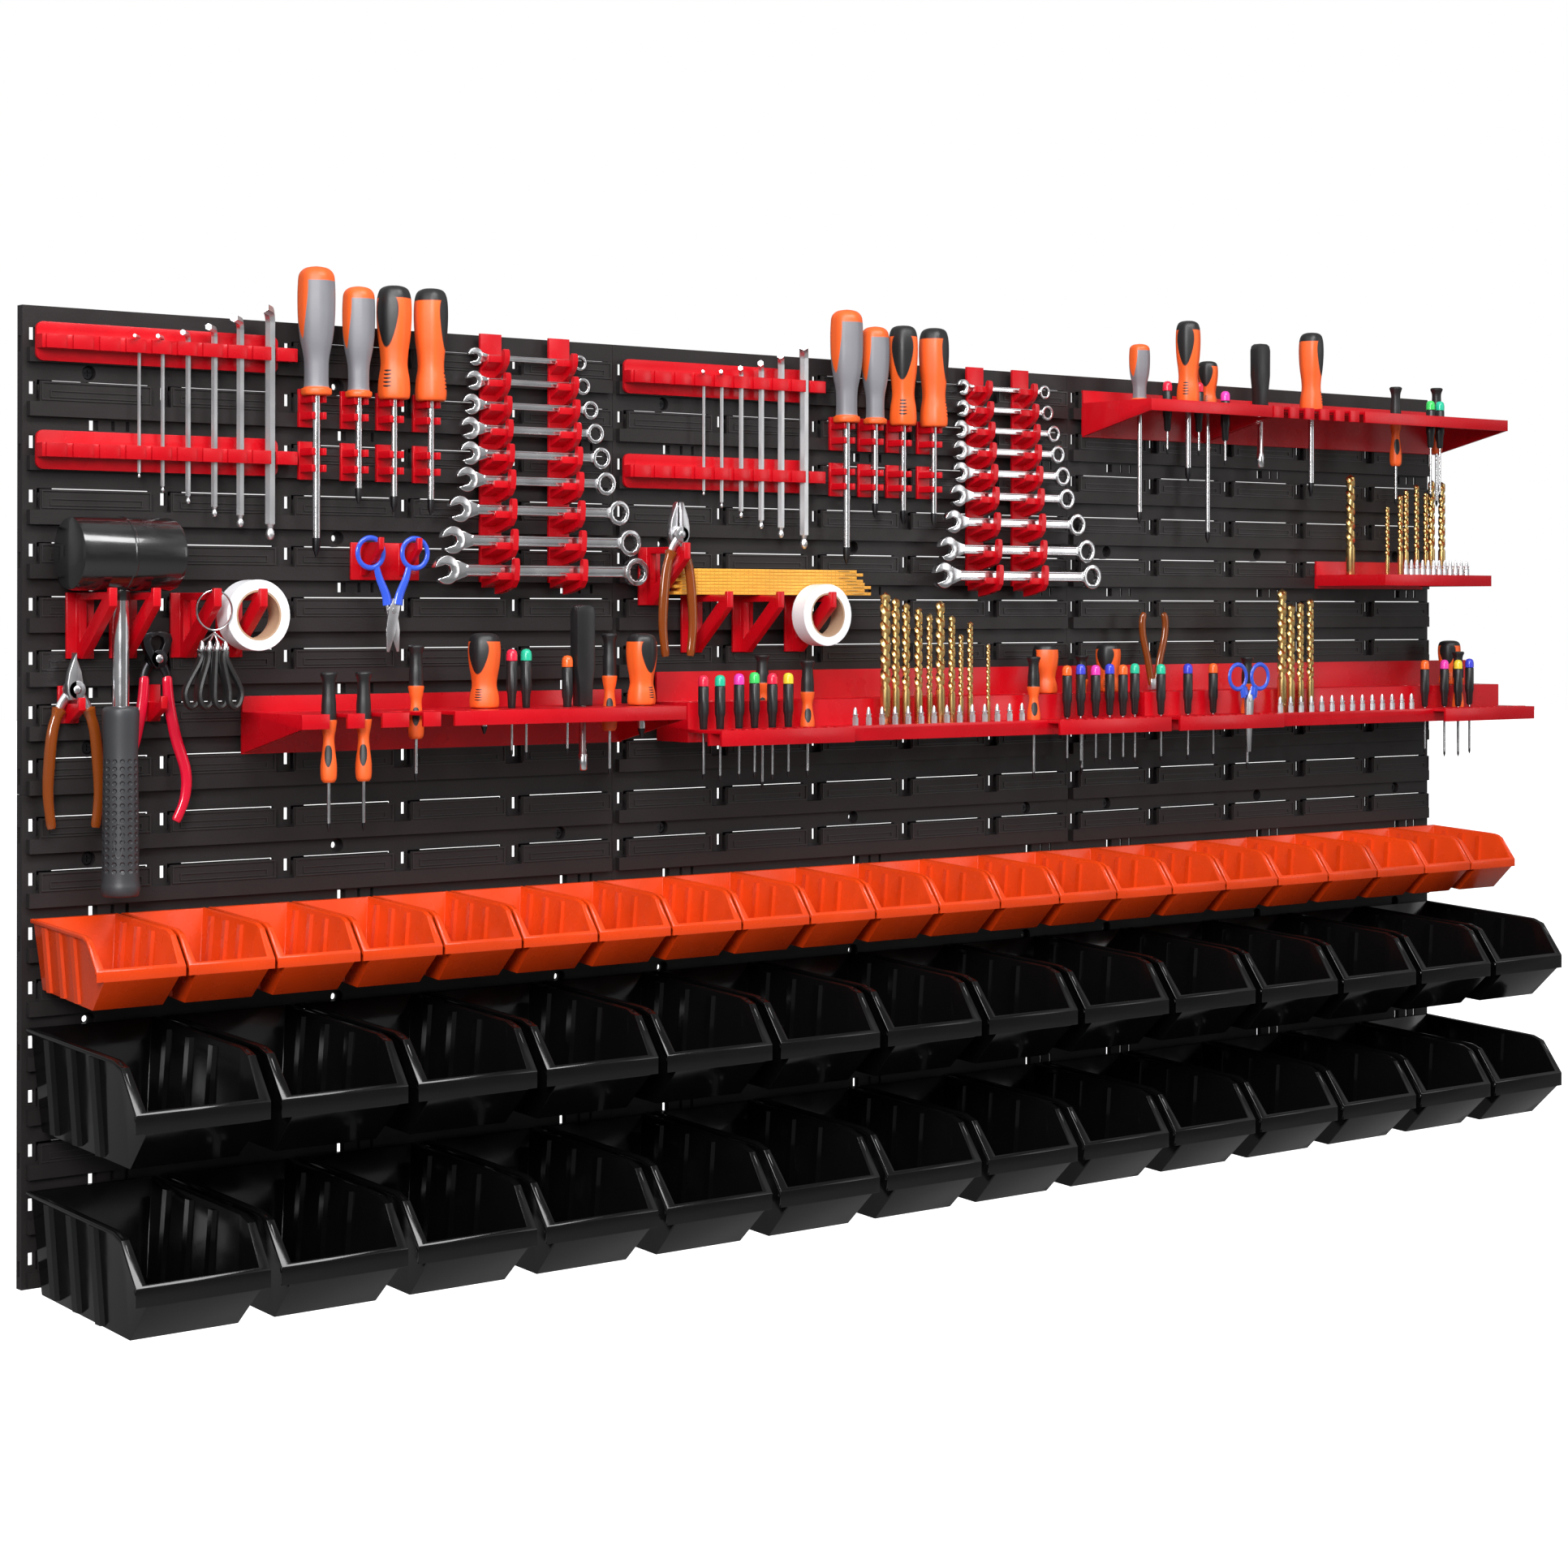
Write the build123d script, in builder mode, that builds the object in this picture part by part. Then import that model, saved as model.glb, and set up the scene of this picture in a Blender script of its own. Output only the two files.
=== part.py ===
from build123d import *
import math
import os

# Modular louvre tool wall: six moulded panels, red holders and shelves, hand tools and hook-on bins.
#
# Frame: origin at the middle of the wall's back face, +X right, +Z up, the wall's front faces -Y.
# Places are given as a person would measure them on the wall, in millimetres:
#   x  from the wall's left edge, z  from its bottom edge, d  in front of the panels' tab plates.

# ---- driving dimensions -------------------------------------------------------------------------
PANEL_W = 576.0
PANEL_H = 390.0
COLUMNS = 3
WALL_W = COLUMNS * PANEL_W
WALL_H = 2 * PANEL_H
PANEL_T = 15.0            # tab face to back face
SKIN_FRONT = -6.0         # the flat skin lies this far behind the tab plates
SKIN_BACK = -8.2
PLATE_T = 2.2             # wall of ledges and tab plates
SEAM_GAP = 0.15           # half the gap between neighbouring panels
SEAM_RISE = 1.8           # the lower panels' top edge stands this much above the middle

ROWS = 9
TABS = 5
ROW_PITCH = 42.96
TAB_PITCH = 115.2
FIRST_ROW = 22.4          # first row of tabs below the panel's top edge
TAB_LEFT = 12.5
TAB_W = 98.0
TAB_RISE = 5.5            # tab top above its row line
LEDGE_TOP = -11.0         # ledge, measured from the row line
LEDGE_LOW = -22.5
WINDOW_W = 5.4
WINDOW_H = 10.0
WINDOW_X = 8.6
SCREW_X = (57.6, 288.0, 518.4)
SCREW_DROP = (51.5, 180.4, 352.3)
SCREW_HOLE_R = 2.75
SCREW_CUP_R = 6.0
SQUARE_X = (61.8, 292.2, 522.6)
SQUARE_DROP = (93.5, 222.4, 308.3)

HOLDER_T = 3.0            # back plates of the red holders
FIT = 0.4                 # air round anything that is stored in a hole or on a hook
SLOT_FIT = 0.35           # air round a hook behind a tab plate

# ---- places and simple solids -------------------------------------------------------------------


def px(x):
    return x - WALL_W / 2


def py(d):
    return -PANEL_T - d


def pz(z):
    return z - WALL_H / 2


def block(x0, x1, d0, d1, z0, z1, mode=Mode.ADD):
    """A box between two widths, two depths and two heights."""
    with Locations((px((x0 + x1) / 2), py((d0 + d1) / 2), pz((z0 + z1) / 2))):
        Box(x1 - x0, d1 - d0, z1 - z0, mode=mode)


def blocks(corners, width, deep, high, mode=Mode.ADD):
    """Equal boxes, each given by its left, rear and lower corner."""
    places = [(px(x + width / 2), py(d + deep / 2), pz(z + high / 2)) for x, d, z in corners]
    with Locations(*places):
        Box(width, deep, high, mode=mode)


def side_profile(points, x0, x1):
    """An outline of (d, z) points seen from the side, carried from x0 to x1."""
    with BuildPart() as bar:
        with BuildSketch(Plane.YZ.offset(px(x0))):
            with BuildLine():
                Polyline(*[(py(d), pz(z)) for d, z in points], close=True)
            make_face()
        extrude(amount=x1 - x0)
    return bar.part


def front_profile(points, d0, d1):
    """An outline of (x, z) points seen from the front, carried from depth d0 out to d1."""
    with BuildPart() as plate:
        with BuildSketch(Plane.XZ.offset(PANEL_T + d0)):
            with BuildLine():
                Polyline(*[(px(x), pz(z)) for x, z in points], close=True)
            make_face()
        extrude(amount=d1 - d0)
    return plate.part


def upright(x, d, z0, z1, radius, mode=Mode.ADD):
    """A vertical round bar."""
    with Locations((px(x), py(d), pz((z0 + z1) / 2))):
        Cylinder(radius, z1 - z0, mode=mode)


def turned(x, d, outline):
    """A vertical turned solid from (radius, z) points, lowest first."""
    with BuildPart() as bar:
        with BuildSketch(Plane.XZ):
            with BuildLine():
                Polyline((0, outline[0][1]), *outline, (0, outline[-1][1]), close=True)
            make_face()
        revolve(axis=Axis.Z)
    return bar.part.moved(Location((px(x), py(d), pz(0))))


def crosswise(x, z, d0, d1, radius, mode=Mode.ADD):
    """A round bar that points at the viewer."""
    with Locations(Location((px(x), py((d0 + d1) / 2), pz(z)), (90, 0, 0))):
        Cylinder(radius, d1 - d0, mode=mode)


def finish(builder, name):
    """Label one finished piece and write it."""
    builder.part.label = name
    export_step(builder.part, "parts/" + name + ".step")
    print(name, len(builder.part.solids()), "solid(s)")


os.makedirs("parts", exist_ok=True)

# ---- the six wall panels ------------------------------------------------------------------------
FRAME_W = 5.0
RIB_W = 2.0
LINK_W = 5.0              # push-fit tongues on a panel's right edge
LINK_ROWS = (0, 2, 4, 6, 8)


def row_line(top, row):
    return top - FIRST_ROW - row * ROW_PITCH


def wall_panel(low, high, top):
    """One moulded panel, in layers from its tab plates back to its frame; its left edge is at x 0."""
    x0 = SEAM_GAP
    x1 = PANEL_W - SEAM_GAP
    middle = ((x0 + x1) / 2, (low + high) / 2)
    rows = [row_line(top, r) for r in range(ROWS)]
    tabs = [(TAB_LEFT + TAB_W / 2 + c * TAB_PITCH, r) for r in rows for c in range(TABS)]
    windows = [(WINDOW_X + c * TAB_PITCH, r) for r in rows for c in range(TABS)]
    squares = [(x, top - drop) for x in SQUARE_X for drop in SQUARE_DROP]
    slits = [(x + step, z) for x, z in squares for step in (17, 30)]
    cups = [(x, top - drop) for x in SCREW_X for drop in SCREW_DROP]
    links = [row_line(top, r) - 8 for r in LINK_ROWS]
    ledge_mid = (LEDGE_TOP + LEDGE_LOW) / 2
    ledge_h = LEDGE_TOP - LEDGE_LOW

    def layer(front):
        return Plane.XZ.offset(PANEL_T + front)

    def spots(points, rise=0.0):
        return Locations(*[(px(x), pz(z + rise)) for x, z in points])

    with BuildPart() as panel:
        # tab plates and the front walls of the ledges
        with BuildSketch(layer(-PLATE_T)):
            with spots([(PANEL_W / 2, r) for r in rows], ledge_mid):
                Rectangle(PANEL_W - 8, ledge_h)
            with spots(tabs, (TAB_RISE + LEDGE_TOP) / 2):
                Rectangle(TAB_W, TAB_RISE - LEDGE_TOP)
        extrude(amount=PLATE_T)
        # the ledges' upper, lower and end walls
        with BuildSketch(layer(SKIN_FRONT)):
            with spots([(PANEL_W / 2, r) for r in rows], ledge_mid):
                Rectangle(PANEL_W - 8, ledge_h)
                Rectangle(PANEL_W - 16, ledge_h - 2 * PLATE_T, mode=Mode.SUBTRACT)
        extrude(amount=-SKIN_FRONT - PLATE_T)
        # the skin, open behind the ledges and tabs, with windows, slits and screw cups
        with BuildSketch(layer(SKIN_BACK)):
            with spots([middle]):
                Rectangle(x1 - x0, high - low)
            with spots([(PANEL_W / 2, r) for r in rows], ledge_mid):
                Rectangle(PANEL_W - 16, ledge_h - 2 * PLATE_T, mode=Mode.SUBTRACT)
            with spots(tabs, (TAB_RISE + LEDGE_TOP + 3) / 2):
                Rectangle(TAB_W, TAB_RISE - LEDGE_TOP - 1, mode=Mode.SUBTRACT)
            with spots(windows):
                Rectangle(WINDOW_W, WINDOW_H, mode=Mode.SUBTRACT)
            with spots(squares):
                Rectangle(8, 8, mode=Mode.SUBTRACT)
            with spots(slits):
                Rectangle(3, 8, mode=Mode.SUBTRACT)
            with spots(cups):
                Circle(SCREW_CUP_R, mode=Mode.SUBTRACT)
        extrude(amount=SKIN_FRONT - SKIN_BACK)
        # frame, ribs and cup walls, in three slices: the middle one has the push-fit links
        for front, back, linked in ((SKIN_BACK, -9.2, False), (-9.2, -13.0, True), (-13.0, -PANEL_T, False)):
            with BuildSketch(layer(back)):
                with spots([middle]):
                    Rectangle(x1 - x0, high - low)
                    Rectangle(x1 - x0 - 2 * FRAME_W, high - low - 2 * FRAME_W, mode=Mode.SUBTRACT)
                with spots([(c * TAB_PITCH, middle[1]) for c in range(1, TABS)]):
                    Rectangle(RIB_W, high - low - FRAME_W)
                with spots(cups):
                    Circle(SCREW_CUP_R + 1.6)
                    Circle(SCREW_CUP_R, mode=Mode.SUBTRACT)
                if linked:
                    with spots([(x1 + LINK_W / 2 - 1, z) for z in links]):
                        Rectangle(LINK_W + 2, 12)
                    with spots([(x0 + LINK_W / 2, z) for z in links]):
                        Rectangle(LINK_W + 2, 12.8, mode=Mode.SUBTRACT)
            extrude(amount=front - back)
        # the cups' floors with their screw holes
        with BuildSketch(layer(-PANEL_T)):
            with spots(cups):
                Circle(SCREW_CUP_R)
                Circle(SCREW_HOLE_R, mode=Mode.SUBTRACT)
        extrude(amount=3)
    return panel.part


SEAM = PANEL_H + SEAM_RISE
upper_panel = wall_panel(SEAM + 2 * SEAM_GAP, WALL_H, WALL_H)
lower_panel = wall_panel(0, SEAM, PANEL_H)
for column, side in enumerate(("left", "middle", "right")):
    for level, one_panel in (("upper", upper_panel), ("lower", lower_panel)):
        with BuildPart() as panel:
            with Locations((column * PANEL_W, 0, 0)):
                add(one_panel)
        finish(panel, "panel_" + level + "_" + side)

# Wall screws sit in the outer cups, top and bottom; their shanks end at the wall's back face.
SCREW_R = 2.1
SCREW_HEAD_R = 4.4
screw_places = []
for column in range(COLUMNS):
    for panel_top in (WALL_H, PANEL_H):
        for x in (SCREW_X[0], SCREW_X[2]):
            for drop in (SCREW_DROP[0], SCREW_DROP[2]):
                screw_places.append((column * PANEL_W + x, panel_top - drop))
with BuildPart() as wall_screws:
    for x, z in screw_places:
        crosswise(x, z, -PANEL_T, -PANEL_T + 3, SCREW_R)
        crosswise(x, z, -PANEL_T + 3, -PANEL_T + 5.6, SCREW_HEAD_R)
        block(x - 2.6, x + 2.6, -PANEL_T + 4.2, -PANEL_T + 5.6, z - 0.5, z + 0.5, Mode.SUBTRACT)
        block(x - 0.5, x + 0.5, -PANEL_T + 4.2, -PANEL_T + 5.6, z - 2.6, z + 2.6, Mode.SUBTRACT)
finish(wall_screws, "wall_screws")

# ---- hex-key rails and keys ---------------------------------------------------------------------
SET_STEP = 575.0          # the middle panel repeats the left panel's tool sets
KEY_X = (94, 115, 138, 162, 186, 214)
KEY_SIZE = (2.5, 3, 4, 5, 6, 8)
KEY_TOP = (759.6, 760.5, 765, 771, 780, 791)
KEY_TIP = (645, 634, 625, 615, 607, 597)
KEY_ARM = (16, 18, 21, 24, 28, 32)
KEY_D = 9.5
KEY_TURN = 40             # the short arms point forward and this far to the left
RAIL_X = (8, 225)
RAIL_H = 31
RAIL_Z = (736, 650)
STRIP_D = (HOLDER_T, 15)
STRIP_Z = 9.5             # strip above the rail's lower edge
STRIP_H = 11
STRIP_END = 238


def key_rail(shift, low):
    """A rounded back plate with a stepped strip that has one round hole for each key."""
    with BuildPart() as rail:
        block(shift + RAIL_X[0], shift + RAIL_X[1], 0, HOLDER_T, low, low + RAIL_H)
        fillet(rail.edges().filter_by(Axis.Y), radius=6)
        block(shift + RAIL_X[0], shift + STRIP_END, STRIP_D[0], STRIP_D[1] - 2,
              low + STRIP_Z, low + STRIP_Z + STRIP_H)
        steps = len(KEY_X) + 4
        pitch = (STRIP_END - RAIL_X[0]) / steps
        blocks([(shift + RAIL_X[0] + k * pitch + 3, STRIP_D[1] - 2, low + STRIP_Z)
                for k in range(steps)], pitch - 6, 2, STRIP_H)
        for x, size in zip(KEY_X, KEY_SIZE):
            upright(shift + x, KEY_D, low, low + RAIL_H, size / math.sqrt(3) + FIT, Mode.SUBTRACT)
    return rail.part


def hex_key(x, size, top, tip, arm):
    """An L-shaped ball-end key: long arm down, short arm forward and to the left."""
    half = size / 2
    with BuildPart() as key:
        with BuildSketch(Plane.XY.offset(tip + size)):
            RegularPolygon(half, 6, major_radius=False)
        extrude(amount=top - tip - size - half)
        with Locations((0, 0, tip + half)):
            Sphere(half * 0.95)
        with Locations((0, 0, tip + size * 0.85)):
            Cylinder(half * 0.6, size * 0.6)
        with BuildSketch(Plane.XZ):
            with Locations((0, top - half)):
                RegularPolygon(half, 6, major_radius=False)
        extrude(amount=arm)
        with Locations((0, 0, top - half)):
            Sphere(half)
    return key.part.moved(Location((px(x), py(KEY_D), pz(0)), (0, 0, -KEY_TURN)))


for side, shift in (("left", 0), ("right", SET_STEP)):
    with BuildPart() as key_rails:
        for rail_low in RAIL_Z:
            add(key_rail(shift, rail_low))
    finish(key_rails, "key_rails_" + side)
    with BuildPart() as hex_keys:
        for x, size, top, tip, arm in zip(KEY_X, KEY_SIZE, KEY_TOP, KEY_TIP, KEY_ARM):
            add(hex_key(shift + x, size, top, tip, arm))
    finish(hex_keys, "hex_keys_" + side)

# ---- screwdriver clips, handles and blades ------------------------------------------------------
DRIVER_X = (253, 294, 329, 366)
DRIVER_RIGHT_X = (835, 871, 907, 947)
DRIVER_D = 18
DRIVER_BASE = 718
DRIVER_TOP = (826, 812, 815, 815)
DRIVER_R = (16, 14, 15, 15)
DRIVER_TIP = (583, 628, 622, 620)
DRIVER_SHAFT_R = (3.5, 3, 3, 3)
CLIP_Z = (692, 648)
CLIP_W = 16
CLIP_H = 32


def driver_clip(x, low, shaft_r):
    """A back plate with two springy forks that hold a blade."""
    with BuildPart() as clip:
        block(x - CLIP_W / 2, x + CLIP_W / 2, 0, HOLDER_T, low, low + CLIP_H)
        for fork in (low + 6, low + CLIP_H - 12):
            block(x - CLIP_W / 2 + 1, x + CLIP_W / 2 - 1, HOLDER_T, DRIVER_D + 5, fork, fork + 6)
        block(x - shaft_r - FIT, x + shaft_r + FIT, DRIVER_D - shaft_r - FIT, DRIVER_D + 6,
              low, low + CLIP_H, Mode.SUBTRACT)
    return clip.part


def driver_handle(x, d, base, top, r):
    """A swelling grip with a waist near the blade and a rounded end."""
    rise = top - base
    outline = ((r * 0.72, base), (r * 0.78, base + rise * 0.12), (r * 0.62, base + rise * 0.25),
               (r * 0.95, base + rise * 0.5), (r, base + rise * 0.75), (r * 0.92, base + rise * 0.92),
               (r * 0.6, top))
    return turned(x, d, outline)


for side, places in (("left", DRIVER_X), ("right", DRIVER_RIGHT_X)):
    with BuildPart() as driver_clips:
        for x, shaft_r in zip(places, DRIVER_SHAFT_R):
            for clip_low in CLIP_Z:
                add(driver_clip(x, clip_low, shaft_r))
    finish(driver_clips, "driver_clips_" + side)

# Full-size drivers: x, d, base, top, handle radius, tip, blade radius
BIG_DRIVERS = []
for places in (DRIVER_X, DRIVER_RIGHT_X):
    for x, top, r, tip, shaft_r in zip(places, DRIVER_TOP, DRIVER_R, DRIVER_TIP, DRIVER_SHAFT_R):
        BIG_DRIVERS.append((x, DRIVER_D, DRIVER_BASE, top, r, tip, shaft_r))

# ---- tool shelves -------------------------------------------------------------------------------
SHELF_D = 100
SHELF_T = 3
SHELF_LIP = 12
SHELF_BACK_H = 48
GUSSET_T = 3
HIGH_SHELF_Z = 752        # deck tops
LOW_SHELF_Z = 454


def gusset(x, deck, tall):
    """A tapered end web below the deck."""
    return side_profile([(HOLDER_T, deck - SHELF_T), (HOLDER_T, deck - tall),
                         (SHELF_D - 2, deck - SHELF_LIP), (SHELF_D - 2, deck - SHELF_T)],
                        x, x + GUSSET_T)


def shelf_body(x0, x1, deck):
    """Back plate, deck, front lip and end webs; call inside a BuildPart."""
    block(x0, x1, 0, HOLDER_T, deck - SHELF_BACK_H + 13, deck + 13)
    block(x0, x1, HOLDER_T, SHELF_D, deck - SHELF_T, deck)
    block(x0, x1, SHELF_D - 3, SHELF_D, deck - SHELF_LIP, deck)


def tool_shelf(x0, x1, deck, comb, holes):
    """A tool shelf; comb lists slots open to the front as (x, width), holes as (x, d, radius)."""
    with BuildPart() as shelf:
        shelf_body(x0, x1, deck)
        add(gusset(x0, deck, 34))
        add(gusset(x1 - GUSSET_T, deck, 34))
        for x, width in comb:
            block(x - width / 2, x + width / 2, 66, SHELF_D, deck - SHELF_LIP, deck, Mode.SUBTRACT)
        for x, d, r in holes:
            upright(x, d, deck - SHELF_T, deck, r, Mode.SUBTRACT)
    return shelf


# Stored in the shelves: small drivers, stubby drivers, precision drivers, flat-handled drivers.
# Small drivers: x, d, top, tip, height of the handle's foot
SMALL_DRIVERS = ((226, 84, 488, 358, 398), (259, 84, 488, 357, 398), (328, 55, 509, 394, 430),
                 (529, 55, 518, 392, 432), (752, 60, 492, 383, 425), (727, 24, 497, 372, 437),
                 (1042, 60, 493, 372, 425), (1144, 24, 493, 372, 437), (1352, 60, 490, 372, 425),
                 (1592, 60, 785, 655, 698), (1662, 60, 787, 655, 714), (1700, 60, 493, 388, 425))
SMALL_R = 7.0
SMALL_BLADE_R = 1.5
# Precision drivers: x, d, top, tip
PRECISION = ((425, 55, 505, 412), (440, 55, 505, 410), (483.5, 55, 499, 412),
             (630, 60, 480, 385), (649, 60, 480, 383), (671, 60, 481, 384), (689, 60, 482, 385),
             (710, 60, 481, 382), (729, 60, 481, 384),
             (1088, 60, 484, 386), (1107, 60, 485, 383), (1128, 60, 484, 385), (1148, 60, 485, 383),
             (1167, 60, 484, 385), (1184, 60, 485, 384), (1222, 60, 484, 384), (1262, 60, 484, 384),
             (1300, 60, 484, 384), (1642, 60, 484, 380), (1676, 60, 484, 376), (1690, 68, 484, 376),
             (1720, 60, 485, 378),
             (1247, 45, 776, 700), (1294, 45, 777, 700), (1318, 60, 768, 690),
             (1622, 84, 770, 662), (1638, 84, 770, 662))
PRECISION_R = 5.0
PRECISION_BLADE_R = 1.25
PRECISION_GRIP = 52       # handle length
# Stubby drivers: x, d, base, top, radius, tip, blade radius
STUBBY = ((400, 50, 454.5, 519, 14, 432, 3), (556, 66, 454.5, 518, 14, 425, 3.5),
          (1087, 30, 455.5, 505, 13, 440, 3), (1176, 30, 455.5, 505, 13, 440, 3),
          (1722, 30, 455.5, 505, 13, 440, 3))
# Full-size drivers in the high shelves
SHELF_DRIVERS = ((1206, 45, 752.5, 812, 11, 628, 2.6), (1262, 60, 752.5, 838, 13, 672, 3.2),
                 (1330, 24, 752.5, 802, 11, 610, 2.6), (1464, 50, 752.5, 838, 13.5, 662, 3.2))
# Flat-handled socket drivers: x, d, base, top, tip
FLAT_DRIVERS = ((500, 55, 454.5, 543, 398), (1372, 60, 752.5, 820, 690))
FLAT_W = 20
FLAT_T = 12

BIG_DRIVERS += SHELF_DRIVERS + STUBBY


def holes_for(x0, x1, deck):
    """Round holes in a deck for every driver that stands in it, kept a little wider than the tool."""
    found = []
    for x, d, top, tip, foot in SMALL_DRIVERS:
        found.append((x, d, top, tip, SMALL_R + FIT))
    for x, d, top, tip in PRECISION:
        found.append((x, d, top, tip, PRECISION_R + FIT))
    for x, d, base, top, r, tip, shaft_r in BIG_DRIVERS:
        found.append((x, d, top, tip, (r if base < deck else shaft_r) + FIT))
    for x, d, base, top, tip in FLAT_DRIVERS:
        found.append((x, d, top, tip, 4 + FIT))
    inside = []
    for x, d, top, tip, r in found:
        if x0 < x < x1 and tip < deck < top and d > HOLDER_T + r:
            inside.append((x, d, r))
    return inside


LOW_SHELF = (192, 580)
HIGH_LEFT_SHELF = (1167, 1346.5)
HIGH_RIGHT_SHELF = (1349, 1737)
low_comb = [(226, 17), (259, 17), (300, 14), (331, 14)]
high_comb = [(HIGH_RIGHT_SHELF[0] + 20 + 24 * k, 10) for k in range(6)]

tool_shelf_low = tool_shelf(LOW_SHELF[0], LOW_SHELF[1], LOW_SHELF_Z, low_comb,
                            holes_for(LOW_SHELF[0], LOW_SHELF[1], LOW_SHELF_Z))
finish(tool_shelf_low, "tool_shelf_low")
tool_shelf_high_left = tool_shelf(HIGH_LEFT_SHELF[0], HIGH_LEFT_SHELF[1], HIGH_SHELF_Z, [],
                                  holes_for(HIGH_LEFT_SHELF[0], HIGH_LEFT_SHELF[1], HIGH_SHELF_Z))
finish(tool_shelf_high_left, "tool_shelf_high_left")
tool_shelf_high_right = tool_shelf(HIGH_RIGHT_SHELF[0], HIGH_RIGHT_SHELF[1], HIGH_SHELF_Z, high_comb,
                                   holes_for(HIGH_RIGHT_SHELF[0], HIGH_RIGHT_SHELF[1], HIGH_SHELF_Z))
finish(tool_shelf_high_right, "tool_shelf_high_right")

# Bit shelves: two perforated decks with a two-step bit rack between them.
BIT_SHELF_W = 576
BIT_SHELF_X = (620, 1209)
BIT_BACK = (433, 482)
REAR_DECK = 455
REAR_D = 50
FRONT_DECK = 431
END_W = 156
MID_D = 82
PERF_R = 3.2
BIT_PITCH = 16.5
BIT_D = 72
BIT_R = 3.2
DRILL_D = 62


def bit_shelf(x0, drills, bits):
    """One bit shelf with holes for the drills and bits it carries."""
    x1 = x0 + BIT_SHELF_W
    with BuildPart() as shelf:
        block(x0, x1, 0, HOLDER_T, BIT_BACK[0], BIT_BACK[1])
        block(x0, x1, HOLDER_T, REAR_D, REAR_DECK - SHELF_T, REAR_DECK)
        block(x0, x1, REAR_D - SHELF_T, REAR_D, FRONT_DECK - SHELF_LIP, REAR_DECK)
        block(x0, x1, REAR_D, MID_D, FRONT_DECK - SHELF_T, FRONT_DECK)
        block(x0, x1, MID_D - SHELF_T, MID_D, FRONT_DECK - SHELF_LIP - 2, FRONT_DECK)
        for left in (x0, x1 - END_W):
            block(left, left + END_W, MID_D, SHELF_D, FRONT_DECK - SHELF_T, FRONT_DECK)
            block(left, left + END_W, SHELF_D - SHELF_T, SHELF_D, FRONT_DECK - SHELF_LIP - 2, FRONT_DECK)
            perforation = [(px(left + 12 + 12 * i), py(MID_D + 9), pz(FRONT_DECK - SHELF_T / 2))
                           for i in range(12)]
            with Locations(*perforation):
                Cylinder(PERF_R, SHELF_T, mode=Mode.SUBTRACT)
            wells = [(px(left + 20 + 24 * i), py(27), pz(REAR_DECK - SHELF_T / 2)) for i in range(6)]
            with Locations(*wells):
                Cylinder(8, SHELF_T, mode=Mode.SUBTRACT)
        for x in (x0, x1 - GUSSET_T):
            block(x, x + GUSSET_T, HOLDER_T, REAR_D - SHELF_T, FRONT_DECK - SHELF_LIP,
                  REAR_DECK - SHELF_T)
        for x, d, r in holes_for(x0, x1, REAR_DECK):
            deck = FRONT_DECK if d > REAR_D else REAR_DECK
            upright(x, d, deck - SHELF_T, deck, r, Mode.SUBTRACT)
        for x, top, r in drills:
            upright(x, DRILL_D, FRONT_DECK - SHELF_T, FRONT_DECK, r + FIT, Mode.SUBTRACT)
        for x in bits:
            upright(x, BIT_D, FRONT_DECK - SHELF_T, FRONT_DECK, BIT_R + FIT, Mode.SUBTRACT)
    return shelf


# Drills: x, top, radius
DRILLS_LEFT = ((846, 556, 5), (859, 551, 4), (872, 546, 4), (888, 542, 4), (902, 536, 3),
               (916, 548, 4.5), (931, 534, 3.5), (943, 516, 2.5), (955, 528, 3), (979, 506, 2))
DRILLS_RIGHT = ((1404, 562, 5), (1418, 546, 4.5), (1433, 548, 4), (1449, 552, 4))
BITS_LEFT = [800 + BIT_PITCH * k for k in range(14)]
BITS_RIGHT = [1390 + BIT_PITCH * k for k in range(14)]
bit_shelf_left = bit_shelf(BIT_SHELF_X[0], DRILLS_LEFT, BITS_LEFT)
finish(bit_shelf_left, "bit_shelf_left")
bit_shelf_right = bit_shelf(BIT_SHELF_X[1], DRILLS_RIGHT, BITS_RIGHT)
STORED_SCISSORS_X = 1325
with bit_shelf_right:
    block(STORED_SCISSORS_X - 9, STORED_SCISSORS_X + 9, 82.6, 91.4, FRONT_DECK - SHELF_T, FRONT_DECK,
          Mode.SUBTRACT)
finish(bit_shelf_right, "bit_shelf_right")

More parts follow.
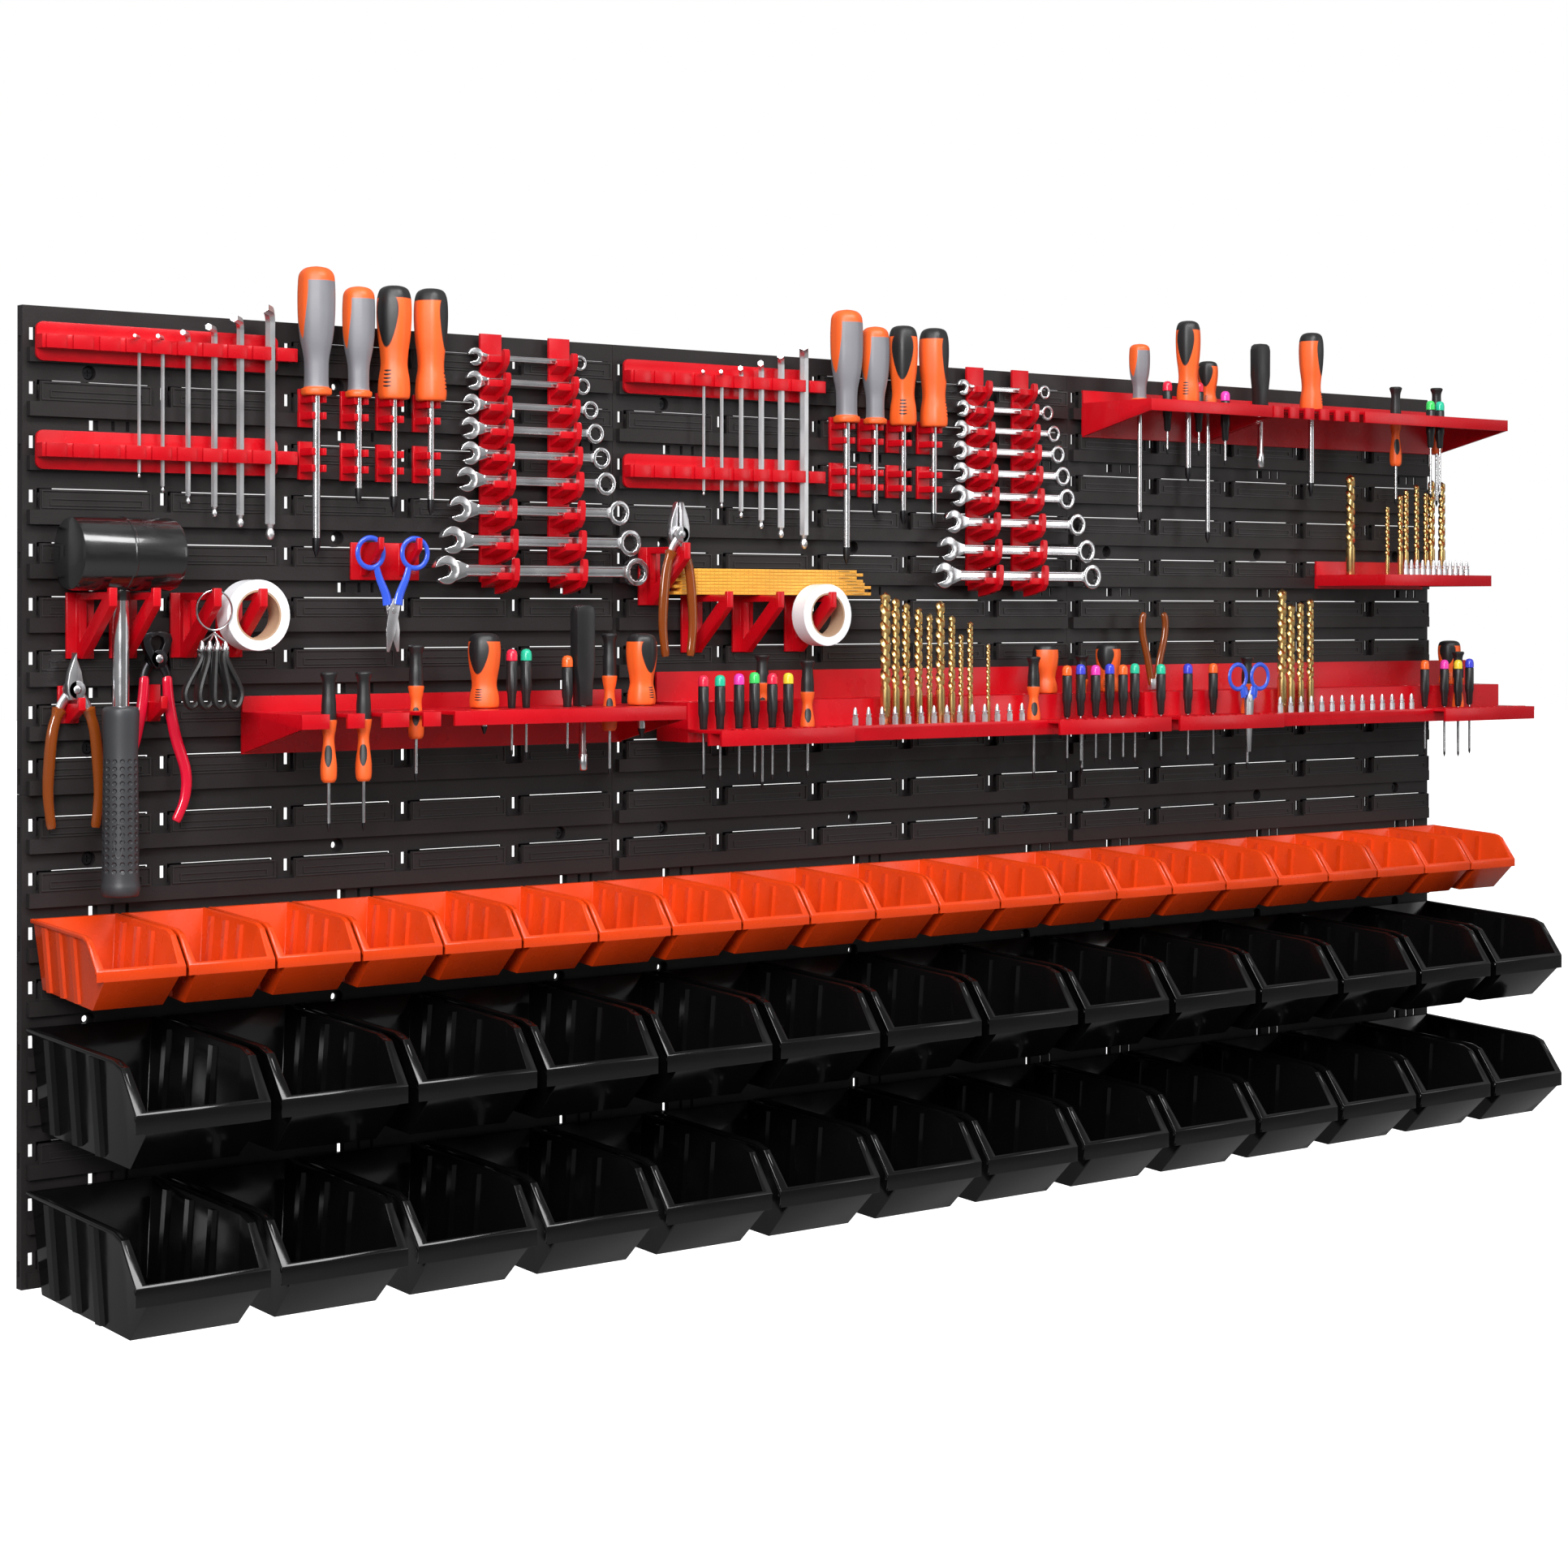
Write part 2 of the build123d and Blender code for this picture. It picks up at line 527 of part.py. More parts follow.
# Drill shelf on the upper right panel
DRILL_SHELF = (1527, 1708)
DRILL_SHELF_Z = 578
TALL_DRILLS = ((1540, 688, 5), (1602, 655, 2.5), (1624, 668, 3), (1634, 674, 3), (1652, 680, 3),
               (1668, 672, 3), (1678, 686, 4), (1696, 684, 4))
TALL_D = 40
RACK_BITS = [1590 + 9.5 * k for k in range(12)]
RACK_BIT_D = 76
with BuildPart() as drill_shelf:
    block(DRILL_SHELF[0], DRILL_SHELF[1], 0, HOLDER_T, DRILL_SHELF_Z - 15, DRILL_SHELF_Z + 15)
    block(DRILL_SHELF[0], DRILL_SHELF[1], HOLDER_T, SHELF_D, DRILL_SHELF_Z - SHELF_T, DRILL_SHELF_Z)
    block(DRILL_SHELF[0], DRILL_SHELF[1], SHELF_D - SHELF_T, SHELF_D, DRILL_SHELF_Z - SHELF_LIP,
          DRILL_SHELF_Z)
    block(DRILL_SHELF[0], DRILL_SHELF[0] + GUSSET_T, HOLDER_T, SHELF_D - SHELF_T,
          DRILL_SHELF_Z - SHELF_LIP, DRILL_SHELF_Z - SHELF_T)
    block(DRILL_SHELF[1] - GUSSET_T, DRILL_SHELF[1], HOLDER_T, SHELF_D - SHELF_T,
          DRILL_SHELF_Z - SHELF_LIP, DRILL_SHELF_Z - SHELF_T)
    for x, top, r in TALL_DRILLS:
        upright(x, TALL_D, DRILL_SHELF_Z - SHELF_T, DRILL_SHELF_Z, r + FIT, Mode.SUBTRACT)
    for x in RACK_BITS:
        upright(x, RACK_BIT_D, DRILL_SHELF_Z - SHELF_T, DRILL_SHELF_Z, BIT_R + FIT, Mode.SUBTRACT)
finish(drill_shelf, "drill_shelf")

with BuildPart() as twist_drills:
    for x, top, r in DRILLS_LEFT + DRILLS_RIGHT:
        upright(x, DRILL_D, FRONT_DECK - 6, top, r)
    for x, top, r in TALL_DRILLS:
        upright(x, TALL_D, DRILL_SHELF_Z - 6, top, r)
finish(twist_drills, "twist_drills")

with BuildPart() as screw_bits:
    for x in BITS_LEFT + BITS_RIGHT:
        upright(x, BIT_D, FRONT_DECK - 8, FRONT_DECK + 9, BIT_R)
        upright(x, BIT_D, FRONT_DECK + 9, FRONT_DECK + 17, BIT_R * 0.6)
    for x in RACK_BITS:
        upright(x, RACK_BIT_D, DRILL_SHELF_Z - 8, DRILL_SHELF_Z + 9, BIT_R)
        upright(x, RACK_BIT_D, DRILL_SHELF_Z + 9, DRILL_SHELF_Z + 17, BIT_R * 0.6)
finish(screw_bits, "screw_bits")

with BuildPart() as driver_handles:
    for x, d, base, top, r, tip, shaft_r in BIG_DRIVERS:
        add(driver_handle(x, d, base, top, r))
finish(driver_handles, "driver_handles")
with BuildPart() as driver_blades:
    for x, d, base, top, r, tip, shaft_r in BIG_DRIVERS:
        upright(x, d, tip, base, shaft_r)
finish(driver_blades, "driver_blades")

with BuildPart() as small_driver_handles:
    for x, d, top, tip, foot in SMALL_DRIVERS:
        rise = top - foot
        add(turned(x, d, ((4.5, foot), (6.5, foot + rise * 0.15), (4.8, foot + rise * 0.38),
                          (SMALL_R, foot + rise * 0.55), (SMALL_R - 0.8, top - rise * 0.16),
                          (5, top - rise * 0.1), (SMALL_R - 0.5, top))))
finish(small_driver_handles, "small_driver_handles")
with BuildPart() as small_driver_blades:
    for x, d, top, tip, foot in SMALL_DRIVERS:
        upright(x, d, tip, foot, SMALL_BLADE_R)
finish(small_driver_blades, "small_driver_blades")

with BuildPart() as precision_handles:
    for x, d, top, tip in PRECISION:
        add(turned(x, d, ((2.4, top - PRECISION_GRIP), (4, top - PRECISION_GRIP + 16),
                          (PRECISION_R, top - PRECISION_GRIP + 24), (PRECISION_R, top - 3),
                          (3, top))))
finish(precision_handles, "precision_handles")
with BuildPart() as precision_blades:
    for x, d, top, tip in PRECISION:
        upright(x, d, tip, top - PRECISION_GRIP, PRECISION_BLADE_R)
finish(precision_blades, "precision_blades")

with BuildPart() as flat_drivers:
    for x, d, base, top, tip in FLAT_DRIVERS:
        block(x - FLAT_W / 2, x + FLAT_W / 2, d - FLAT_T / 2, d + FLAT_T / 2, base, top)
        upright(x, d, tip, base, 4)
finish(flat_drivers, "flat_drivers")

# ---- spanner racks and combination spanners -----------------------------------------------------
SPANNER_Z = (760, 739, 718, 697, 675, 652, 626, 599, 573)
SPANNER_LEFT = (411, 408, 403, 400, 398, 393, 384, 375, 367)
SPANNER_RING = (530, 532, 539, 543, 548, 552, 565, 576, 582)
SPANNER_COUNT = len(SPANNER_Z)
RACK_X = ((427, 500), (1005, 1067))
RACK_W = 22
RACK_LOW = 563
RACK_HIGH = 781
SPANNER_STEP = 577


def grow(k, first, last):
    """Sizes that grow evenly from the smallest spanner to the largest."""
    return first + (last - first) * k / (SPANNER_COUNT - 1)


def spanner_rack(x0):
    """A back rail with one upturned arm under each spanner."""
    with BuildPart() as rack:
        block(x0, x0 + RACK_W, 0, HOLDER_T, RACK_LOW, RACK_HIGH)
        for k, z in enumerate(SPANNER_Z):
            seat = z - grow(k, 3, 6.5) - FIT
            reach = grow(k, 14, 30)
            add(side_profile([(HOLDER_T, seat - 8), (HOLDER_T, seat), (reach - 4, seat),
                              (reach - 2, seat + 5), (reach, seat + 5), (reach, seat - 1)],
                             x0 + 1, x0 + RACK_W - 1))
    return rack.part


def spanner(k, shift):
    """A combination spanner: open jaw on the left, ring on the right."""
    z = SPANNER_Z[k]
    thick = grow(k, 4, 7)
    back = grow(k, 14, 30) - 5 - thick
    jaw_r = grow(k, 8, 12.6)
    ring_r = grow(k, 7, 12.6)
    half = grow(k, 3, 6.5)
    jaw_x = shift + SPANNER_LEFT[k] + jaw_r
    ring_x = shift + SPANNER_RING[k]
    with BuildPart() as tool:
        block(jaw_x, ring_x, back + 0.5, back + thick - 0.5, z - half, z + half)
        crosswise(jaw_x, z, back, back + thick, jaw_r)
        crosswise(ring_x, z, back, back + thick, ring_r)
        crosswise(ring_x, z, back, back + thick, ring_r * 0.62, Mode.SUBTRACT)
        with Locations(Location((px(jaw_x), py(back + thick / 2), pz(z)), (0, 15, 0))):
            with Locations((-jaw_r * 0.6, 0, 0)):
                Box(jaw_r * 1.3, thick + 1, jaw_r * 0.86, mode=Mode.SUBTRACT)
    return tool.part


for side, rails, shift in (("left", RACK_X[0], 0), ("right", RACK_X[1], SPANNER_STEP)):
    with BuildPart() as spanner_racks:
        for x in rails:
            add(spanner_rack(x))
    finish(spanner_racks, "spanner_racks_" + side)
    with BuildPart() as spanners:
        for k in range(SPANNER_COUNT):
            add(spanner(k, shift))
    finish(spanners, "spanners_" + side)

# ---- brackets and hooks -------------------------------------------------------------------------
ARM_TOP = 552.4
ARM_W = 7
BRACKET_W = 24
BRACKET_H = 53
BRACKET_REACH = 60
MALLET_ARMS = (46, 84)
RING_ARMS = (138, 180)
RULE_ARMS = (661, 721, 784)
CUTTER_ARM = 612
CUTTER_ARM_TOP = 596


def bracket(x, top, reach=BRACKET_REACH):
    """A back plate with a triangular, braced arm and an upturned nub at its tip."""
    with BuildPart() as piece:
        block(x - BRACKET_W / 2, x + BRACKET_W / 2, 0, HOLDER_T, top - BRACKET_H, top)
        add(side_profile([(HOLDER_T, top - BRACKET_H), (HOLDER_T, top), (reach - 5, top),
                          (reach - 4, top + 3.5), (reach, top + 3.5), (reach, top - 11),
                          (12, top - BRACKET_H)], x - ARM_W / 2, x + ARM_W / 2))
        add(side_profile([(8, top - 40), (8, top - 6), (reach - 14, top - 6)],
                         x - ARM_W / 2, x + ARM_W / 2), mode=Mode.SUBTRACT)
    return piece.part


for places, name in ((MALLET_ARMS, "mallet_bracket"), (RING_ARMS, "ring_bracket"),
                     (RULE_ARMS, "rule_brackets")):
    with BuildPart() as brackets:
        for x in places:
            add(bracket(x, ARM_TOP))
    finish(brackets, name)
with BuildPart() as cutter_hook:
    add(bracket(CUTTER_ARM, CUTTER_ARM_TOP))
finish(cutter_hook, "cutter_hook")

SMALL_HOOK_X = (36, 108)
SMALL_HOOK_TOP = 464
with BuildPart() as pliers_hooks:
    for x in SMALL_HOOK_X:
        top = SMALL_HOOK_TOP
        block(x - 9, x + 9, 0, HOLDER_T, top - 16, top + 14)
        add(side_profile([(HOLDER_T, top - 16), (HOLDER_T, top), (23, top), (24, top + 5), (27, top + 5),
                          (27, top - 5), (8, top - 16)], x - 3, x + 3))
finish(pliers_hooks, "pliers_hooks")

SCISSOR_ARMS = (308, 346)
SCISSOR_ARM_TOP = 596
with BuildPart() as scissors_hook:
    block(296, 364, 0, HOLDER_T, 564, SCISSOR_ARM_TOP)
    for x in SCISSOR_ARMS:
        add(side_profile([(HOLDER_T, 568), (HOLDER_T, SCISSOR_ARM_TOP), (29, SCISSOR_ARM_TOP),
                          (30, SCISSOR_ARM_TOP + 4), (33, SCISSOR_ARM_TOP + 4),
                          (33, SCISSOR_ARM_TOP - 6), (8, 568)], x - 2.5, x + 2.5))
finish(scissors_hook, "scissors_hook")

# ---- mallet -------------------------------------------------------------------------------------
MALLET_X = 65
MALLET_D = 35
MALLET_R = 30
MALLET_HEAD = (20, 110)
MALLET_Z = ARM_TOP + FIT + MALLET_R
MALLET_SHAFT_R = 6.8
GRIP_Z = (311, 462)
with BuildPart() as mallet_head:
    with Locations(Location((px(sum(MALLET_HEAD) / 2), py(MALLET_D), pz(MALLET_Z)), (0, 90, 0))):
        Cylinder(MALLET_R, MALLET_HEAD[1] - MALLET_HEAD[0])
    fillet(mallet_head.edges().filter_by(GeomType.CIRCLE), radius=4)
    upright(MALLET_X, MALLET_D, MALLET_Z - MALLET_R, MALLET_Z + 20, MALLET_SHAFT_R, Mode.SUBTRACT)
finish(mallet_head, "mallet_head")
with BuildPart() as mallet_shaft:
    upright(MALLET_X, MALLET_D, GRIP_Z[0] + 15, MALLET_Z + 20, MALLET_SHAFT_R)
finish(mallet_shaft, "mallet_shaft")
with BuildPart() as mallet_grip:
    add(turned(MALLET_X, MALLET_D, ((15, GRIP_Z[0]), (15.5, GRIP_Z[0] + 10), (14, GRIP_Z[0] + 40),
                                    (13, GRIP_Z[1] - 50), (14, GRIP_Z[1] - 12), (13, GRIP_Z[1]))))
    upright(MALLET_X, MALLET_D, GRIP_Z[0] + 15, GRIP_Z[1], MALLET_SHAFT_R, Mode.SUBTRACT)
finish(mallet_grip, "mallet_grip")

# ---- tape rolls, key ring, folding rule ---------------------------------------------------------
TAPE_R = 29
TAPE_HOLE_R = 19
TAPE_D = (33, 51.5)
TAPE_Z = ARM_TOP - math.sqrt(TAPE_HOLE_R ** 2 - (ARM_W / 2) ** 2) + FIT
for side, x in (("left", RING_ARMS[1]), ("right", RULE_ARMS[2])):
    with BuildPart() as tape_roll:
        crosswise(x, TAPE_Z, TAPE_D[0], TAPE_D[1], TAPE_R)
        crosswise(x, TAPE_Z, TAPE_D[0], TAPE_D[1], TAPE_HOLE_R, Mode.SUBTRACT)
    finish(tape_roll, "tape_roll_" + side)

RING_R = 16
RING_WIRE_R = 1.1
RING_D = 53.6
RING_Z = ARM_TOP - math.sqrt((RING_R - RING_WIRE_R) ** 2 - (ARM_W / 2) ** 2) + FIT
with BuildPart() as key_ring:
    with Locations(Location((px(RING_ARMS[0]), py(RING_D), pz(RING_Z)), (90, 0, 0))):
        Torus(RING_R, RING_WIRE_R)
finish(key_ring, "key_ring")
FOB_X = (-14, -5, 4, 13)
FOB_TOP = RING_Z - RING_R - 9
with BuildPart() as key_fobs:
    for k, step in enumerate(FOB_X):
        x = RING_ARMS[0] + step * 0.35
        foot = RING_ARMS[0] + step
        add(front_profile([(x - 2.5, FOB_TOP), (x + 2.5, FOB_TOP), (foot + 5, FOB_TOP - 57),
                           (foot - 5, FOB_TOP - 57)], RING_D - 14 + 7 * k, RING_D - 9 + 7 * k))
    crosswise(RING_ARMS[0], FOB_TOP - 3, RING_D - 16, RING_D + 14, 2)
    upright(RING_ARMS[0], RING_D, FOB_TOP - 3, RING_Z - RING_R - RING_WIRE_R - 0.1, 1.5)
finish(key_fobs, "key_fobs")

RULE_X = (618, 854)
RULE_D = (16, 32)
RULE_LEAVES = 8
RULE_LEAF_T = 3
with BuildPart() as folding_rule:
    for k in range(RULE_LEAVES):
        shift = 8 if k % 2 else 0
        z = ARM_TOP + FIT + k * RULE_LEAF_T
        low = k < RULE_LEAVES / 2
        block(RULE_X[0] + shift, RULE_X[1] - shift - (0 if low else 10), RULE_D[0], RULE_D[1],
              z, z + RULE_LEAF_T)
finish(folding_rule, "folding_rule")

# ---- pliers and scissors ------------------------------------------------------------------------


def limb(points, widths):
    """A flat outline that follows a centre line of (x, z) points with a width at each."""
    left = []
    right = []
    for k, (x, z) in enumerate(points):
        x0, z0 = points[max(k - 1, 0)]
        x1, z1 = points[min(k + 1, len(points) - 1)]
        run = math.hypot(x1 - x0, z1 - z0)
        nx = -(z1 - z0) / run * widths[k] / 2
        nz = (x1 - x0) / run * widths[k] / 2
        left.append((x + nx, z + nz))
        right.append((x - nx, z - nz))
    return left + right[::-1]


def pliers_half(x, z, d, side, jaw, jaw_widths, handle, handle_widths):
    """Half a pair of pliers: a jaw on one side of the pivot and a handle on the other."""
    jaw_line = [(x + side * a, z + b) for a, b in jaw]
    handle_line = [(x - side * a, z + b) for a, b in handle]
    with BuildPart() as half:
        crosswise(x, z, d[0], d[1], PLIERS_JOINT_R)
        add(front_profile(limb(jaw_line, jaw_widths), d[0], d[1]))
        add(front_profile(limb(handle_line, handle_widths), d[0], d[1]))
    return half


CUTTER_JAW = ((2.5, 0), (3.5, 12), (1.2, 30))
CUTTER_JAW_W = (9, 7.5, 2)
CUTTER_HANDLE = ((2, -2), (10, -12), (16, -30), (19, -56), (20, -84), (17, -112))
CUTTER_HANDLE_W = (9, 7, 9, 11, 11, 10)
END_JAW = ((2, 0), (8, 10), (10, 22))
END_JAW_W = (9, 13, 12)
END_HANDLE = ((2, -2), (8, -12), (10, -36), (16, -64), (26, -92), (24, -116), (15, -135))
END_HANDLE_W = (9, 9, 9, 11, 11, 11, 10)
# name, pivot x and z, rear face, side of the front half's jaw, jaw, widths, handle, widths
PLIERS = (("cutter_left", 36, 475, 6, -1, CUTTER_JAW, CUTTER_JAW_W, CUTTER_HANDLE, CUTTER_HANDLE_W),
          ("end_cutter", 108, 499, 6, -1, END_JAW, END_JAW_W, END_HANDLE, END_HANDLE_W),
          ("cutter_right", CUTTER_ARM, 607, 40, 1, CUTTER_JAW, CUTTER_JAW_W, CUTTER_HANDLE,
           CUTTER_HANDLE_W))
PLIERS_T = 6
PLIERS_JOINT_R = 8
for name, x, z, d, side, jaw, jaw_w, handle, handle_w in PLIERS:
    rear = pliers_half(x, z, (d, d + PLIERS_T), -side, jaw, jaw_w, handle, handle_w)
    finish(rear, name + "_back")
    front = pliers_half(x, z, (d + PLIERS_T + FIT, d + 2 * PLIERS_T + FIT), side, jaw, jaw_w, handle,
                        handle_w)
    finish(front, name + "_front")

# Amber pliers stand head down in the right bit shelf, handles up.
STORED_PLIERS_X = 1250
STORED_PLIERS_Z = 470
with BuildPart() as shelf_pliers:
    for turn in (-1, 1):
        line = [(STORED_PLIERS_X + turn * a, STORED_PLIERS_Z + b)
                for a, b in ((3, -4), (9, 20), (16, 44), (15, 66))]
        add(front_profile(limb(line, (7, 9, 9, 8)), 20, 26))
    block(STORED_PLIERS_X - 7, STORED_PLIERS_X + 7, 20, 26, STORED_PLIERS_Z - 14, STORED_PLIERS_Z)
finish(shelf_pliers, "shelf_pliers")

RING_IN = 11
RING_OUT = 14.5
SCISSOR_RING_Z = SCISSOR_ARM_TOP - 9.1
SCISSOR_PIVOT = (326, 538)


def scissors_half(ring_x, ring_z, pivot, tip, d0, d1):
    """A ring and bow above the pivot and a blade below it."""
    with BuildPart() as half:
        crosswise(ring_x, ring_z, d0, d1, RING_OUT)
        add(front_profile(limb([(ring_x, ring_z - RING_OUT * 0.8), pivot], (7, 8)), d0, d1))
        add(front_profile(limb([pivot, (pivot[0], (pivot[1] + tip[1]) / 2), tip], (9, 8, 2)), d0, d1))
        crosswise(ring_x, ring_z, d0, d1, RING_IN, Mode.SUBTRACT)
    return half


scissors_back = scissors_half(305, SCISSOR_RING_Z, SCISSOR_PIVOT, (330, 503), 18, 21)
finish(scissors_back, "scissors_back")
scissors_front = scissors_half(347, SCISSOR_RING_Z, SCISSOR_PIVOT, (322, 503), 21.4, 24.4)
finish(scissors_front, "scissors_front")

# A second pair of scissors hangs through the slot in the right bit shelf.
with BuildPart() as shelf_scissors:
    for turn, d0 in ((-1, 84), (1, 87.2)):
        add(scissors_half(STORED_SCISSORS_X + turn * 15, 470, (STORED_SCISSORS_X, 446),
                          (STORED_SCISSORS_X - turn * 3, 392), d0, d0 + 2.8).part)
finish(shelf_scissors, "shelf_scissors")

# ---- hook-on bins -------------------------------------------------------------------------------
# Side outline of each kind, as (d, height above the rear rim): rear rim, bend, lip, foot, heel.
SMALL_BIN = {"rim": ((1, 0), (92, -6), (99, -9), (116, -32), (116, -40)), "foot": (93, -64),
             "heel": (8, -56), "half": 38, "body": 35.5, "base": 30, "wall": 1.6}
LARGE_BIN = {"rim": ((1, 0), (150, -8.5), (163, -13), (187, -46), (187, -60)), "foot": (156, -91),
             "heel": (8, -82), "half": 57, "body": 53, "base": 46, "wall": 2}
SMALL_BINS = 22
LARGE_BINS = 14
SMALL_PITCH = WALL_W / SMALL_BINS
LARGE_PITCH = WALL_W / LARGE_BINS
SMALL_FIRST = 42.0
LARGE_FIRST = 57.5
RIM_BAND = 3


def drawn_in(points, x, half_top, half_base, z_top, z_base):
    """A side outline between side walls that lean inwards towards the base."""
    with BuildPart() as solid:
        add(side_profile(points, x - half_top, x + half_top))
        add(front_profile([(x - half_top, z_top), (x + half_top, z_top), (x + half_base, z_base),
                           (x - half_base, z_base)], -20, 250), mode=Mode.INTERSECT)
    return solid.part


def bin_box(kind, x, rim_z):
    """An open-fronted bin with a rolled rim and a strip that hooks behind the tab plates."""
    rim = [(d, rim_z + z) for d, z in kind["rim"]]
    foot = (kind["foot"][0], rim_z + kind["foot"][1])
    heel = (kind["heel"][0], rim_z + kind["heel"][1])
    wall = kind["wall"]
    lip = rim[-1]
    inside = [(rim[0][0] + wall, rim_z + 30), (lip[0] - wall, rim_z + 30), (lip[0] - wall, lip[1] + 1),
              (foot[0] - wall, foot[1] + wall), (heel[0] + 1, heel[1] + wall)]
    band = rim + [(lip[0] - RIM_BAND, lip[1])] + [(d - 1, z - RIM_BAND) for d, z in rim[-2:0:-1]]
    band.append((rim[0][0], rim_z - RIM_BAND))
    with BuildPart() as box:
        add(drawn_in(rim + [foot, heel], x, kind["body"], kind["base"], rim_z, foot[1]))
        add(side_profile(band, x - kind["half"], x + kind["half"]))
        add(drawn_in(inside, x, kind["body"] - wall, kind["base"] - wall, rim_z, foot[1]),
            mode=Mode.SUBTRACT)
        tab_top = rim_z - 7
        block(x - 25, x + 25, -3.0, 2.2, tab_top + SLOT_FIT, tab_top + SLOT_FIT + 2.4)
        block(x - 25, x + 25, -5.0, -PLATE_T - SLOT_FIT, tab_top - 8, tab_top + SLOT_FIT + 2.4)
    return box.part


def bin_row(first, kind, pitch, numbers, rim_z):
    one = bin_box(kind, first, rim_z)
    return [one.moved(Location((pitch * k, 0, 0))) for k in numbers]


def tab_top_of(row):
    return row_line(PANEL_H, row) + TAB_RISE


SMALL_RIM = tab_top_of(2) + 7
LARGE_RIMS = (tab_top_of(4) + 7, tab_top_of(7) + 7)
with BuildPart() as orange_bin_first:
    add(bin_row(SMALL_FIRST, SMALL_BIN, SMALL_PITCH, (0,), SMALL_RIM))
finish(orange_bin_first, "orange_bin_first")
orange_bins = Compound(children=bin_row(SMALL_FIRST, SMALL_BIN, SMALL_PITCH, range(1, SMALL_BINS), SMALL_RIM))
with BuildPart() as black_bin_first:
    add(bin_row(LARGE_FIRST, LARGE_BIN, LARGE_PITCH, (0,), LARGE_RIMS[0]))
finish(black_bin_first, "black_bin_first")
black_bins = Compound(children=bin_row(LARGE_FIRST, LARGE_BIN, LARGE_PITCH, range(1, LARGE_BINS), LARGE_RIMS[0])
                      + bin_row(LARGE_FIRST, LARGE_BIN, LARGE_PITCH, range(LARGE_BINS), LARGE_RIMS[1]))
for group, name in ((orange_bins, "orange_bins"), (black_bins, "black_bins")):
    group.label = name
    export_step(group, "parts/" + name + ".step")
    print(name, len(group.solids()), "solid(s)")
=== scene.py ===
import math
import bmesh
import bpy
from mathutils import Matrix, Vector


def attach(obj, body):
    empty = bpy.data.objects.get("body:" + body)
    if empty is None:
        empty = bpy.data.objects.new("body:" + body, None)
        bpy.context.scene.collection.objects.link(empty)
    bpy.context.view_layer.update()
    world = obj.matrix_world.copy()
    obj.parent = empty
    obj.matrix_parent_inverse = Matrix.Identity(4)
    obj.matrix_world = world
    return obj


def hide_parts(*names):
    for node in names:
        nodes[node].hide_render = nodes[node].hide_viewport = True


# A louvred tool wall with red holders, hand tools and hook-on bins. Sizes are in millimetres on the
# wall: x from its left edge, z from its bottom edge, d in front of the tab plates.
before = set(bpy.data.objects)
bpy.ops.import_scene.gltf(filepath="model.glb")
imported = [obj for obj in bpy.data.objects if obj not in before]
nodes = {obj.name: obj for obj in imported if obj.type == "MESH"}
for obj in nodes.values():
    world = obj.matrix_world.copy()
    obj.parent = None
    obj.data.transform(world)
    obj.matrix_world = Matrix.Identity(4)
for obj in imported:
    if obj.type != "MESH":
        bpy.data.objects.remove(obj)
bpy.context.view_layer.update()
WALL_W = 1728.0
WALL_H = 780.0
PANEL_T = 15.0
SHARP = math.radians(40)
CAMERA_AT = (-1.9352, -2.2790, 0.1484)
CAMERA_YAW = 39.16


def at(x, d, z):
    """Wall millimetres to a place in metres."""
    return Vector(((x - WALL_W / 2) / 1000, (-PANEL_T - d) / 1000, (z - WALL_H / 2) / 1000))


def linked(name, data):
    """A new object in the scene."""
    obj = bpy.data.objects.new(name, data)
    bpy.context.scene.collection.objects.link(obj)
    return obj


# ---- shader groups ----


class Bench:
    """Lays out nodes in one tree and joins them."""

    def __init__(self, tree):
        self.tree = tree

    def put(self, kind, **settings):
        node = self.tree.nodes.new(kind)
        for key, value in settings.items():
            setattr(node, key, value)
        return node

    def feed(self, socket, value):
        if isinstance(value, bpy.types.NodeSocket):
            self.tree.links.new(value, socket)
        else:
            socket.default_value = value

    def maths(self, operation, *values, clamp=False):
        node = self.put("ShaderNodeMath", operation=operation, use_clamp=clamp)
        for socket, value in zip(node.inputs, values):
            self.feed(socket, value)
        return node.outputs[0]

    def blend(self, share, a, b, mode="MIX"):
        node = self.put("ShaderNodeMix", data_type="RGBA", blend_type=mode)
        self.feed(node.inputs["Factor"], share)
        self.feed(node.inputs[6], a)
        self.feed(node.inputs[7], b)
        return node.outputs[2]

    def spread(self, value, low, high, out_low, out_high):
        node = self.put("ShaderNodeMapRange")
        for socket, entry in zip(node.inputs, (value, low, high, out_low, out_high)):
            self.feed(socket, entry)
        return node.outputs[0]

    def split(self, vector):
        node = self.put("ShaderNodeSeparateXYZ")
        self.feed(node.inputs[0], vector)
        return node.outputs

    def uv(self):
        return self.split(self.put("ShaderNodeUVMap").outputs[0])

    def bump(self, distance, strength, height):
        node = self.put("ShaderNodeBump")
        node.inputs["Distance"].default_value = distance
        self.feed(node.inputs["Strength"], strength)
        self.feed(node.inputs["Height"], height)
        return node

    def place(self, scale=(1, 1, 1)):
        coordinates = self.put("ShaderNodeTexCoord")
        mapping = self.put("ShaderNodeMapping")
        self.feed(mapping.inputs["Vector"], coordinates.outputs["Object"])
        mapping.inputs["Scale"].default_value = scale
        return mapping.outputs[0]

    def noise(self, where, scale, detail=2.0):
        node = self.put("ShaderNodeTexNoise")
        self.feed(node.inputs["Vector"], where)
        self.feed(node.inputs["Scale"], scale)
        node.inputs["Detail"].default_value = detail
        return node.outputs["Fac"]


